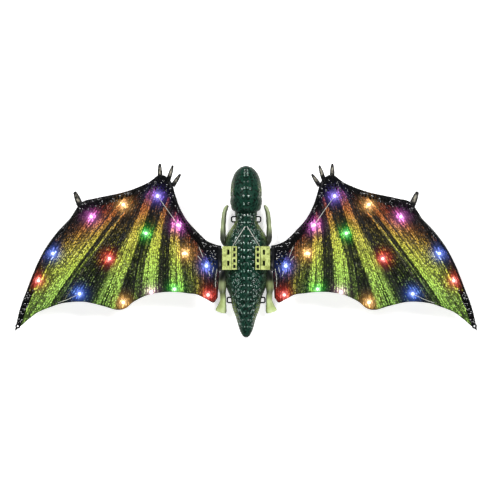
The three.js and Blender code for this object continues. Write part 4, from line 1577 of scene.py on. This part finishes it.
scaly_flecks = bpy.data.node_groups.new("scaly_flecks", "ShaderNodeTree")
group_sockets(
    scaly_flecks,
    (("Vector", "Vector"), ("Fleck Size", "Float"), ("Fleck Share", "Float")),
    (("Fleck", "Float"),),
)
given = add(scaly_flecks, "NodeGroupInput").outputs
fleck_cells = add(
    scaly_flecks,
    "ShaderNodeTexVoronoi",
    {"Vector": given["Vector"], "Scale": reckon(scaly_flecks, "DIVIDE", 1.0, given["Fleck Size"])},
)
fleck_choice = add(scaly_flecks, "ShaderNodeSeparateColor", {"Color": fleck_cells.outputs["Color"]})
fleck_dome = between(scaly_flecks, fleck_cells.outputs["Distance"], *FLECK_EDGES)
fleck_lit = between(scaly_flecks, fleck_choice.outputs["Red"], given["Fleck Share"], 1.0)
add(
    scaly_flecks,
    "NodeGroupOutput",
    {"Fleck": reckon(scaly_flecks, "MULTIPLY", fleck_dome, fleck_lit)},
)

airbrushed = bpy.data.node_groups.new("airbrushed", "ShaderNodeTree")
group_sockets(airbrushed, (("Down", "Float"), ("Light", "Float")), (("Colour", "Color"),))
given = add(airbrushed, "NodeGroupInput").outputs
hue = add(airbrushed, "ShaderNodeValToRGB", {"Fac": given["Down"]})
for row in HUES[1:-1]:
    hue.color_ramp.elements.new(row["down"])
for stop, row in zip(hue.color_ramp.elements, HUES):
    stop.position = row["down"]
    stop.color = sprayed(row["colour"])
coat_share = reckon(airbrushed, "MINIMUM", given["Light"], 1.0)
add(
    airbrushed,
    "NodeGroupOutput",
    {"Colour": mixed(airbrushed, coat_share, sprayed(VALLEY_COLOUR), hue.outputs["Color"])},
)


wing_finish, tree, shader = new_finish("wing_finish", IOR=1.16, Emission_Strength=1.0)
where = add(tree, "ShaderNodeTexCoord").outputs["Object"]
fan = add(tree, "ShaderNodeCombineXYZ", {"X": painted(tree, "ray"), "Y": painted(tree, "down")})
fine_fan = add(
    tree,
    "ShaderNodeVectorMath",
    {"Vector": fan.outputs[0], "Vector_001": (*FINE_STREAK, 1.0)},
    operation="MULTIPLY",
)
fibre = add(tree, "ShaderNodeTexNoise", {"Vector": fine_fan.outputs[0], "Scale": 1.0, "Detail": 3.0})
flecks = grouped(tree, scaly_flecks, Vector=where, Fleck_Size=FLECK["size"], Fleck_Share=FLECK["share"])
streak = between(tree, fibre.outputs["Fac"], *STREAK_EDGES, *STREAK_LIGHT)
sparkle = reckon(tree, "MULTIPLY_ADD", flecks["Fleck"], FLECK["sparkle"], FLECK["ground"])
light = reckon(tree, "MULTIPLY", painted(tree, "stripe"), reckon(tree, "MULTIPLY", streak, sparkle))
stripe_colour = grouped(tree, airbrushed, Down=painted(tree, "hue"), Light=light)["Colour"]
sheet_colour = mixed(tree, painted(tree, "limb"), stripe_colour, sprayed(LIMB_BLACK))
moulded(tree, shader, sheet_colour, sheet_colour, roughness=0.36)
# A painted glow: the lamps' light on the sheet goes into its emission, brighter on the flecks.
glow = add(tree, "ShaderNodeAttribute", attribute_name="glow")
glint = reckon(tree, "MULTIPLY_ADD", flecks["Fleck"], FLECK["glint"], FLECK["glow_ground"])
glow_colour = add(
    tree, "ShaderNodeVectorMath", {"Vector": glow.outputs["Color"], "Scale": glint}, operation="SCALE"
)
tree.links.new(glow_colour.outputs[0], shader.inputs["Emission Color"])

EYELET = {"x": 368.6, "y": -110, "radius": 4.2, "hole": 1.4, "thickness": 2.8, "edge": 0.8, "sides": 32}
EYELET_EASE = 0.1
HUB = {"x": 33.5, "radius": 6.8, "bore": 2.3, "low": 44, "high": 49, "edge": 0.5, "sides": 120}
# The corners of the hub's plate, from the pivot out into the wing.
HUB_PLATE = (
    (0, 6.8),
    (4.4, 13),
    (6.8, 19.4),
    (12, 19.4),
    (12, -21),
    (7.6, -21),
    (5.0, -19),
    (3.6, -13),
    (0, -6.8),
)
HUB_COLOUR = "101214"


def turned_ring(outline, bore, low, high, edge, sides):
    """Points and faces of a flat ring with rounded edges, whose outline is a radius for each angle."""
    points, faces = [], []
    rows = 6
    for s in range(sides):
        angle = 2 * math.pi * s / sides
        out = outline(angle)
        for radius, z in (
            (bore, low),
            (out - edge, low),
            (out, low + edge),
            (out, high - edge),
            (out - edge, high),
            (bore, high),
        ):
            points.append(Vector((radius * math.cos(angle), radius * math.sin(angle), z)))
    for s in range(sides):
        for r in range(rows):
            a, b = s * rows + r, s * rows + (r + 1) % rows
            c, d = (s + 1) % sides * rows + (r + 1) % rows, (s + 1) % sides * rows + r
            faces.append((a, d, c, b))
    return points, faces


def hub_outline(angle):
    """Round about the pivot, with a plate out into the wing."""
    ahead, aside = math.cos(angle), math.sin(angle)
    for a, b in zip(HUB_PLATE, HUB_PLATE[1:]):
        over, under = a[1] * ahead - a[0] * aside, b[1] * ahead - b[0] * aside
        if ahead > 0 and over >= 0 > under:
            share = over / (over - under)
            x, y = [p + (q - p) * share for p, q in zip(a, b)]
            return math.hypot(x, y)
    return HUB["radius"]


def moved(points, x, y):
    return [Vector((p[0] + x, p[1] + y, p[2])) for p in points]


eyelet_z = WING_Z + droop(EYELET["x"])
eyelet_points, eyelet_faces = turned_ring(
    lambda angle: EYELET["radius"],
    EYELET["hole"],
    eyelet_z - EYELET["thickness"] / 2,
    eyelet_z + EYELET["thickness"] / 2,
    EYELET["edge"],
    EYELET["sides"],
)
hub_sizes = [HUB[key] for key in ("bore", "low", "high", "edge", "sides")]
hub_points, hub_faces = turned_ring(hub_outline, *hub_sizes)


def pierced(piece, x, y, radius):
    """Cuts the eyelet's hole through the sheet."""
    cutter_points, cutter_faces = lathe(
        ({"out": 0, "up": 20}, {"out": radius, "up": 20}, {"out": radius, "up": -20}),
        (x, y, eyelet_z),
        (0, 0, 1),
        EYELET["sides"],
    )
    cutter = new_piece("eyelet_cutter", cutter_points, cutter_faces, wing_finish)
    cut = piece.modifiers.new("eyelet", "BOOLEAN")
    cut.operation = "DIFFERENCE"
    cut.solver = "EXACT"
    cut.object = cutter
    settle(piece, cut)
    bpy.data.objects.remove(cutter)


limb_black_finish = moulded_finish(
    "limb_black_finish", HUB_COLOUR, LIMB_BLACK, roughness=0.34, cloud=0.01, IOR=1.3
)

wing_stripe = [ridge_light(u, v) for u, v in zip(wing_ray_of, wing_down)]
wing_hue = [
    v * (ROOT_HUE["share"] + (1 - ROOT_HUE["share"]) * step(u, *ROOT_HUE["rays"]))
    for u, v in zip(wing_ray_of, wing_down)
]
wing_painted_glow = [c for p in wing_tops for c in painted_lamp_glow(p)]
for side, right in SIDES:
    wing_body = f"{side}_wing"
    wing = new_piece(f"wing_{side}_sheet", *on_side(wing_points, wing_faces, right), wing_finish)
    for name, values in (
        ("ray", wing_ray_of),
        ("down", wing_down),
        ("limb", wing_on_limb),
        ("stripe", wing_stripe),
        ("hue", wing_hue),
    ):
        paint(wing, name, values * 2)
    wing.data.attributes.new("glow", "FLOAT_COLOR", "POINT").data.foreach_set("color", wing_painted_glow * 2)
    pierced(wing, right * EYELET["x"], EYELET["y"], EYELET["hole"] + EYELET_EASE)
    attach(wing, wing_body)
    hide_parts(f"wing_{side}")
    for name, points, faces, x, y in (
        (f"wing_{side}_hub", hub_points, hub_faces, HUB["x"], 0),
        (f"wing_{side}_eyelet", eyelet_points, eyelet_faces, EYELET["x"], EYELET["y"]),
    ):
        ring = new_piece(name, *on_side(moved(points, x, y), faces, right), limb_black_finish)
        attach(ring, wing_body)

# The wing's limb scales: rounded pebbly scales moulded close together all along the limb and over the root,
# black and shiny, smaller towards the sheet.
LIMB_SCALE = {"width": 2.05, "length": 2.5, "height": 1.0, "keel": 0.15, "lean": 0.3}
LIMB_SCALE_PITCH = 4.9
LIMB_SCALE_JITTER = 0.9
LIMB_SCALE_SIZES = (0.72, 1.12)
LIMB_SCALE_TURN = 0.6
LIMB_SCALE_FIELD = {"x": 38, "y": -125, "length": 280}
ROW_PITCH = LIMB_SCALE_PITCH * 0.866
ON_LIMB_FROM = 0.35
# The share of bright scales, and how it grows between two rays at the tip and the root.
SHINY_SHARE = 0.3
SHINY_ENDS = chart("share rays", (0.8, (18.0, 18.8)), (0.62, (3.4, 1.8)))
SHINY_ROUGHNESS = 0.16
DULL_ROUGHNESS = 0.36
LEAST_LIMB_SCALE = 0.6
LIMB_SCALE_COLOUR = "0a0b0c"
LIMB_SCALE_LOW_COLOUR = "040506"
# A little more than a wing's swing each way, in degrees.
SWING = (-34, 36)
BRACKET_ROOM = 3.2
EDGE_ROOM = ((2.0, 0), (-2.0, 0), (0, 2.0), (0, -2.0), (1.4, 1.4), (-1.4, -1.4))

upper_face = BVHTree.FromPolygons(wing_points, wing_faces[:top_face_count])
scatter = random.Random(7)


def wing_top(x, y):
    """The place, facing and grid vertex of the wing's upper face under a point, or None off the wing."""
    place, facing, face, _ = upper_face.ray_cast(Vector((x, y, 120)), Vector((0, 0, -1)))
    if place is None:
        return None
    return place, facing, wing_faces[face][0]


bracket_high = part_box("wing_bracket_right")[1] / MM


def meets_bracket(x, y):
    """Whether a scale comes under or against the bracket anywhere in the wing's swing."""
    for degrees in range(SWING[0], SWING[1] + 1, 2):
        turn = math.radians(degrees)
        swung_x = HUB["x"] + (x - HUB["x"]) * math.cos(turn) - y * math.sin(turn)
        swung_y = (x - HUB["x"]) * math.sin(turn) + y * math.cos(turn)
        if swung_x < bracket_high.x + BRACKET_ROOM and abs(swung_y) < bracket_high.y + BRACKET_ROOM:
            return True
    return False


def shiny_share(u):
    """The share of bright scales, which is greater at the wing's tip and root."""
    share = SHINY_SHARE
    for end in SHINY_ENDS:
        share += (end["share"] - SHINY_SHARE) * step(u, *end["rays"])
    return share


limb_scale_rows = []
column_count = int(HALF_SPAN / LIMB_SCALE_PITCH) + 1
row_count = int(LIMB_SCALE_FIELD["length"] / ROW_PITCH) + 1
for i in range(column_count):
    for j in range(row_count):
        x = LIMB_SCALE_FIELD["x"] + (i + 0.5 * (j % 2)) * LIMB_SCALE_PITCH
        x += scatter.uniform(-1, 1) * LIMB_SCALE_JITTER
        y = LIMB_SCALE_FIELD["y"] + j * ROW_PITCH + scatter.uniform(-1, 1) * LIMB_SCALE_JITTER
        size = scatter.uniform(*LIMB_SCALE_SIZES)
        found = wing_top(x, y)
        if found is None or wing_on_limb[found[2]] < ON_LIMB_FROM:
            continue
        if any(wing_top(x + dx, y + dy) is None for dx, dy in EDGE_ROOM):
            continue
        place, facing, corner = found
        if math.hypot(x - EYELET["x"], y - EYELET["y"]) < EYELET["radius"] + 1 or meets_bracket(x, y):
            continue
        turn = scatter.uniform(-LIMB_SCALE_TURN, LIMB_SCALE_TURN)
        along = (math.sin(turn), math.cos(turn), 0)
        dull = float(scatter.random() > shiny_share(wing_ray_of[corner]))
        size *= LEAST_LIMB_SCALE + (1 - LEAST_LIMB_SCALE) * wing_on_limb[corner]
        limb_scale_rows.append(plate(place, facing, along, size, dull=dull))


def sided(rows, right):
    """Points for plates on the right wing, or mirrored for the left one."""
    turned = [dict(row) for row in rows]
    for row in turned:
        for key in ("place", "facing", "along"):
            row[key] = (right * row[key][0], row[key][1], row[key][2])
    return turned


limb_scale_finish, tree, shader = new_finish(
    "limb_scale_finish", IOR=1.12, Coat_Roughness=0.08, Coat_IOR=1.9
)
scale_roughness = between(tree, painted(tree, "dull"), 0, 1, SHINY_ROUGHNESS, DULL_ROUGHNESS)
scale_colours = [sprayed(code) for code in (LIMB_SCALE_COLOUR, LIMB_SCALE_LOW_COLOUR)]
moulded(tree, shader, *scale_colours, scale_roughness, cloud=0.008)
tree.links.new(between(tree, painted(tree, "dull"), 0, 1, 1.0, 0.0), shader.inputs["Coat Weight"])
for side, right in SIDES:
    rows = sided(limb_scale_rows, right)
    limb_scales = plates(f"wing_{side}_limb_scales", rows, LIMB_SCALE, limb_scale_finish, sink=0.3)
    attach(limb_scales, f"{side}_wing")

# The rolled rim: a bead of the limb's black plastic, moulded along the outer part of the leading edge.
# It thins out at both ends.
RIM = {"first": 18.55, "last": 23.5, "inset": 1.7, "steps": 60, "taper": 6, "thinnest": 0.35}
RIM_BAR = {"radius": 1.35, "depth": 0.8, "sides": 12}
RIM_COLOUR = "0b0c0d"
RIM_LOW_COLOUR = "050606"

rim_line = []
for i in range(RIM["steps"] + 1):
    u = RIM["first"] + (RIM["last"] - RIM["first"]) * i / RIM["steps"]
    edge = wing_ray(u)["lead"]
    ahead = (wing_ray(u + 0.05)["lead"] - edge).normalized()
    x, y = edge.x + ahead.y * RIM["inset"], edge.y - ahead.x * RIM["inset"]
    found = wing_top(x, y)
    if found is None:
        continue
    full = step(min(i, RIM["steps"] - i), 0, RIM["taper"])
    girth = RIM["thinnest"] + (1 - RIM["thinnest"]) * full
    rim_line.append((found[0], girth))
rim_finish = moulded_finish(
    "rim_finish",
    RIM_COLOUR,
    RIM_LOW_COLOUR,
    roughness=0.3,
    cloud=0.01,
    IOR=1.3,
    Coat_Weight=0.5,
    Coat_Roughness=0.12,
)
for side, right in SIDES:
    rim = bars(f"wing_{side}_rim", [rim_line], right, finish=rim_finish, **RIM_BAR)
    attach(rim, f"{side}_wing")

# The pebbles: the sheet is grained all over with small drop-shaped scales that lie along its folds. The spray
# catches on them, so that each stripe is a crowd of bright flecks on black.
PEBBLE = {"width": 1.15, "length": 2.2, "height": 0.55, "keel": 0.0, "lean": 0.2}
PEBBLE_ROWS = {"per_ray": 6, "gap": 2.3, "pitch": 3.3, "jitter": 0.75}
PEBBLE_SIZES = (0.7, 1.2)
PEBBLE_SKEW = 0.3
PEBBLE_OFF_LIMB = 0.3
MOST_ROWS = 16
# A pebble's own shine: dull below a share of the draws, and else brighter with the draw.
PEBBLE_SHINE = {"dull_share": 0.28, "dull": 0.25, "least": 0.6}
# Streaks of more and less paint along the folds.
STREAKS = {"even": 1.05, "fine": 2.2, "broad": 0.9, "least": 0.06, "most": 2.0}
BROAD_STREAK = (3.2, 2.6)
GLOW_GROUND = 0.4
# Here and there a pebble catches some paint in the black valleys too.
PEBBLE_SPECK = {"from": 0.82, "light": 0.2}
PEBBLE_ROOM = ((1.3, 0), (-1.3, 0), (0, 2.0), (0, -2.0))
PEBBLE_TILT = 0.3
BRUSHED_FROM = (0.0, 0.4)


def rows_to_next(row, beside, u, v):
    """How many rows of pebbles to pass over at a share v down a ray, so that they keep their gap."""
    here, _ = ray_point(row, u, v)
    ahead, _ = ray_point(row, u, v + 0.01)
    there, _ = ray_point(beside, u + 1 / PEBBLE_ROWS["per_ray"], v)
    along = (ahead - here).normalized()
    gap = (there - here - along * along.dot(there - here)).length
    rows = 1
    while gap * rows < PEBBLE_ROWS["gap"] and rows < MOST_ROWS:
        rows *= 2
    return rows


pebble_rows = []
for k in range((LAST_RAY - 1) * PEBBLE_ROWS["per_ray"]):
    u = k / PEBBLE_ROWS["per_ray"]
    ray, beside = wing_ray(u), wing_ray(u + 1 / PEBBLE_ROWS["per_ray"])
    count = int(ray["length"] / PEBBLE_ROWS["pitch"])
    for j in range(1, count):
        v = (j + 0.5 * (k % 2) + PEBBLE_SKEW * scatter.uniform(-1, 1)) / count
        size, draw = scatter.uniform(*PEBBLE_SIZES), scatter.random()
        aside = [PEBBLE_ROWS["jitter"] * scatter.uniform(-1, 1) for _ in range(2)]
        if k % rows_to_next(ray, beside, u, v):
            continue
        on_ray, _ = ray_point(ray, u, v)
        x, y = on_ray.x + aside[0], on_ray.y + aside[1]
        found = wing_top(x, y)
        if found is None:
            continue
        place, facing, corner = found
        if wing_on_limb[corner] > PEBBLE_OFF_LIMB:
            continue
        if any(wing_top(x + dx, y + dy) is None for dx, dy in PEBBLE_ROOM):
            continue
        dull = draw < PEBBLE_SHINE["dull_share"]
        shine = PEBBLE_SHINE["dull"] if dull else PEBBLE_SHINE["least"] + draw
        fine = noise.noise(Vector((FINE_STREAK[0] * u, FINE_STREAK[1] * v, 3.7)))
        broad = noise.noise(Vector((BROAD_STREAK[0] * u, BROAD_STREAK[1] * v, 9.1)))
        paint_here = STREAKS["even"] + STREAKS["fine"] * fine + STREAKS["broad"] * broad
        shine *= min(max(paint_here, STREAKS["least"]), STREAKS["most"])
        if any(math.dist((x, y), row["at"]) < LAMP_CLEAR for row in LAMPS):
            continue
        # The lamps' painted glow on this pebble, brighter on shinier ones.
        red, green, blue = [c * (GLOW_GROUND + shine) for c in painted_lamp_glow(place)[:3]]
        lean = Vector([scatter.uniform(-PEBBLE_TILT, PEBBLE_TILT) for _ in range(3)])
        speck = PEBBLE_SPECK["light"] * (draw > PEBBLE_SPECK["from"])
        pebble_rows.append(
            plate(
                place,
                (facing + lean).normalized(),
                (wing_tops[corner] - wing_tops[corner + 1]).normalized(),
                size,
                light=max(wing_stripe[corner] * shine, speck),
                hue=wing_hue[corner],
                glow_red=red,
                glow_green=green,
                glow_blue=blue,
            )
        )
pebble_finish, tree, shader = new_finish(
    "pebble_finish", IOR=1.12, Emission_Strength=1.0, Coat_Weight=0.7, Coat_Roughness=0.1, Coat_IOR=1.45
)
brushed = reckon(tree, "MULTIPLY", painted(tree, "light"), between(tree, painted(tree, "tip"), *BRUSHED_FROM))
pebble_colour = grouped(tree, airbrushed, Down=painted(tree, "hue"), Light=brushed)["Colour"]
moulded(tree, shader, pebble_colour, pebble_colour, roughness=0.34)
# The pebbles' painted glow from the lamps, in their emission.
pebble_painted_glow = add(
    tree,
    "ShaderNodeCombineColor",
    {channel: painted(tree, "glow_" + channel.lower()) for channel in ("Red", "Green", "Blue")},
)
tree.links.new(pebble_painted_glow.outputs["Color"], shader.inputs["Emission Color"])
for side, right in SIDES:
    rows = sided(pebble_rows, right)
    pebbles = plates(f"wing_{side}_pebbles", rows, PEBBLE, pebble_finish, sink=0.2, segments=6, rings=4)
    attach(pebbles, f"{side}_wing")

# The claws: three curved horny fingers at the wrist and a spur at the outer corner, moulded on the limb's
# edge. They are black, with a groove down the upper side whose pale stripe is partly wear and partly a
# painted highlight.
CLAWS = chart(
    "base tip half",
    ((138.5, 128), (138.9, 152), 3.9),
    ((125, 126), (117.7, 149.3), 3.5),
    ((118.5, 116), (105.6, 135.2), 3.6),
    ((267, 84), (276.4, 107), 5.2),
)
CLAW_TAPER = chart(
    "along width",
    (0.0, 1.0),
    (0.35, 0.97),
    (0.6, 0.86),
    (0.8, 0.68),
    (0.95, 0.5),
    (1.0, 0.28),
)
CLAW_FLATNESS = 0.75
CLAW_LIFT = 1.2
CLAW_ARCH = 1.3
CLAW_GROOVE = {"depth": 0.3, "width": 0.2, "pale": 0.9, "pale_width": 0.1}
CLAW_KNUCKLE = {"rise": 0.06, "along": 0.16, "length": 0.06}
CLAW_COLOUR = "0b0b0d"
CLAW_LOW_COLOUR = "0a0b0c"
# The pale stripe along a claw's groove: wear and a painted highlight together.
CLAW_WORN_HIGHLIGHT_COLOUR = "a8a394"
CLAW_STEPS = 18
CLAW_SIDES = 20

claw_width = curve_through([row["along"] for row in CLAW_TAPER], [row["width"] for row in CLAW_TAPER])


def claw_rings(base, tip, half):
    z = WING_Z + droop(base[0])
    foot, point = Vector((*base, z)), Vector((*tip, z + CLAW_LIFT))
    along = point - foot
    across = Vector((along.y, -along.x, 0)).normalized()
    rings = []
    for i in range(CLAW_STEPS + 1):
        share = i / CLAW_STEPS
        middle = foot + along * share + Vector((0, 0, CLAW_ARCH * math.sin(math.pi * share)))
        width = half * claw_width(share)
        ring = []
        for s in range(CLAW_SIDES):
            angle = 2 * math.pi * s / CLAW_SIDES
            groove = CLAW_GROOVE["depth"] * bell(math.sin(angle) + 1, CLAW_GROOVE["width"])
            groove = 1 - groove * step(share, 0.08, 0.3) * step(1 - share, 0.05, 0.3)
            bulge = bell(share - CLAW_KNUCKLE["along"], CLAW_KNUCKLE["length"])
            knuckle = 1 + CLAW_KNUCKLE["rise"] * bulge
            deep = -CLAW_FLATNESS * width * math.sin(angle) * groove * knuckle
            ring.append(middle + across * (width * knuckle * math.cos(angle)) + Vector((0, 0, deep)))
        rings.append(ring)
    return rings


claw_finish, tree, shader = new_finish("claw_finish", IOR=1.3)
claw_colour = mixed(tree, painted(tree, "worn"), sprayed(CLAW_COLOUR), sprayed(CLAW_WORN_HIGHLIGHT_COLOUR))
moulded(tree, shader, claw_colour, sprayed(CLAW_LOW_COLOUR), roughness=0.3, cloud=0.005)
claw_points, claw_faces, claw_worn_highlight = [], [], []
for row in CLAWS:
    rings = claw_rings(**row)
    points, faces = skin_over(rings)
    claw_faces += [tuple(v + len(claw_points) for v in face) for face in faces]
    claw_points += points
    for i in range(CLAW_STEPS + 1):
        for s in range(CLAW_SIDES):
            angle = 2 * math.pi * s / CLAW_SIDES
            share = i / CLAW_STEPS
            # The pale stripe down the groove, partly wear and partly a painted highlight.
            rubbed_highlight = CLAW_GROOVE["pale"] * bell(math.sin(angle) + 1, CLAW_GROOVE["pale_width"])
            claw_worn_highlight.append(rubbed_highlight * step(share, 0.2, 0.4) * step(0.85 - share, 0, 0.2))
    claw_worn_highlight += [0.0, 0.0]
for side, right in SIDES:
    claws = new_piece(f"wing_{side}_claws", *on_side(claw_points, claw_faces, right), claw_finish)
    paint(claws, "worn", claw_worn_highlight)
    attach(claws, f"{side}_wing")

# The beaded ribs: fine rows of beads moulded on the sheet along two of its folds. They are brushed in
# a pale olive.
BEAD = {"width": 0.7, "length": 1.4, "height": 0.5, "keel": 0.0, "lean": 0.0}
BEADED_RIBS = chart(
    "ray first last size",
    (13.15, 0.2, 0.985, 1.0),
    (6.05, 0.24, 0.97, 0.6),
)
BEAD_PITCH = 2.9
BEAD_COLOUR = "6b6a44"
BEAD_LOW_COLOUR = "33331f"

bead_rows = []
for rib in BEADED_RIBS:
    row = wing_ray(rib["ray"])
    count = int(row["length"] * (rib["last"] - rib["first"]) / BEAD_PITCH)
    for i in range(count + 1):
        v = rib["first"] + (rib["last"] - rib["first"]) * i / count
        here, _ = ray_point(row, rib["ray"], v)
        ahead, _ = ray_point(row, rib["ray"], v + 0.01)
        found = wing_top(here.x, here.y)
        if found is None:
            continue
        bead_rows.append(plate(found[0], found[1], (ahead - here).normalized(), rib["size"]))
bead_finish = moulded_finish(
    "bead_finish",
    BEAD_COLOUR,
    BEAD_LOW_COLOUR,
    roughness=0.38,
    cloud=0.006,
    Coat_Weight=0.3,
    Coat_Roughness=0.2,
)
for side, right in SIDES:
    rows = sided(bead_rows, right)
    beads = plates(f"wing_{side}_beaded_ribs", rows, BEAD, bead_finish, sink=0.3, segments=8, rings=5)
    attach(beads, f"{side}_wing")

# The lamps: fifteen clear moulded domes on each wing, each over a coloured lamp that is lit. The dome's skirt
# is pressed into the sheet.
LAMP = {"width": 3.0, "length": 3.0, "height": 4.2, "keel": 0.0, "lean": 0.0}
LAMP_SKIRT = 0.3
LAMP_POWER = 2.3
LAMP_CORE = 0.26
LAMP_HOT = (0.2, 0.95)

lamp_finishes = {}
for colour, code in LAMP_COLOURS.items():
    finish, tree, shader = new_finish(
        f"lamp_{colour}_finish",
        Roughness=0.15,
        Emission_Strength=LAMP_POWER,
        Coat_Weight=0.5,
        Coat_Roughness=0.05,
    )
    hot = between(tree, painted(tree, "tip"), *LAMP_HOT)
    core = tuple(c + (1 - c) * LAMP_CORE for c in sprayed(code)[:3])
    tree.links.new(mixed(tree, hot, sprayed(code), (*core, 1.0)), shader.inputs["Emission Color"])
    tree.links.new(mixed(tree, hot, sprayed(code), (1, 1, 1, 1)), shader.inputs["Base Color"])
    lamp_finishes[colour] = finish
for side, right in SIDES:
    for colour, finish in lamp_finishes.items():
        rows, nodes = [], []
        for i, row in enumerate(LAMPS):
            if row["colour"] != colour:
                continue
            node = f"led_{side}_{i + 1:02d}"
            low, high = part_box(node)
            middle = (low + high) / 2
            place = (middle.x / MM, middle.y / MM, low.z / MM)
            rows.append(plate(place, UPRIGHT, STRAIGHT, 1.0))
            nodes.append(node)
        name = f"lamps_{side}_{colour}"
        lamps = plates(name, rows, LAMP, finish, sink=LAMP_SKIRT, segments=24, rings=14)
        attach(lamps, f"{side}_wing")
        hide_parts(*nodes)

# The light string: thin pale wires on the sheet between the lamps, glued down, their ends tucked under a lamp
# or into the limb.
STRING_RADIUS = 0.42
STRING_LIFT = 0.42
STRING_STEP = 2.0
STRING_SIDES = 8
STRING_TUCK = {"depth": 1.4, "steps": 2.5}
STRING_RUNS = (
    ((142.5, 99.8), (127, 78), (109.6, 53)),
    ((68.6, -1.0), (70.4, 4), (74.9, 15.6), (76, 19)),
    ((70, -5.6), (74, -1), (79.6, 5.6)),
    ((62, -18), (60.6, -22), (56.6, -33)),
    ((51.8, -13), (53, -18), (54.8, -26)),
    ((46.4, -15), (48.4, -27), (49.4, -38), (48.4, -52)),
    ((268.5, -57.8), (287, -66.5), (306, -73.3)),
)


def laid_run(corners):
    """Points of a wire laid on the sheet through its corners, tucked in at both ends."""
    places = list(range(len(corners)))
    run_x = curve_through(places, [c[0] for c in corners])
    run_y = curve_through(places, [c[1] for c in corners])
    length = sum(math.dist(a, b) for a, b in zip(corners, corners[1:]))
    count = max(8, int(length / STRING_STEP))
    line = []
    for i in range(count + 1):
        t = places[-1] * i / count
        found = wing_top(run_x(t), run_y(t))
        if found is None:
            continue
        tuck = STRING_TUCK["depth"] * (1 - step(min(i, count - i), 0, STRING_TUCK["steps"]))
        line.append((found[0] + Vector((0, 0, STRING_LIFT - tuck)), 1.0))
    return line


string_lines = [laid_run(corners) for corners in STRING_RUNS]
for side, right in SIDES:
    name = f"light_string_{side}"
    light_string = bars(name, string_lines, right, STRING_RADIUS, STRING_SIDES, wire_finish)
    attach(light_string, f"{side}_wing")
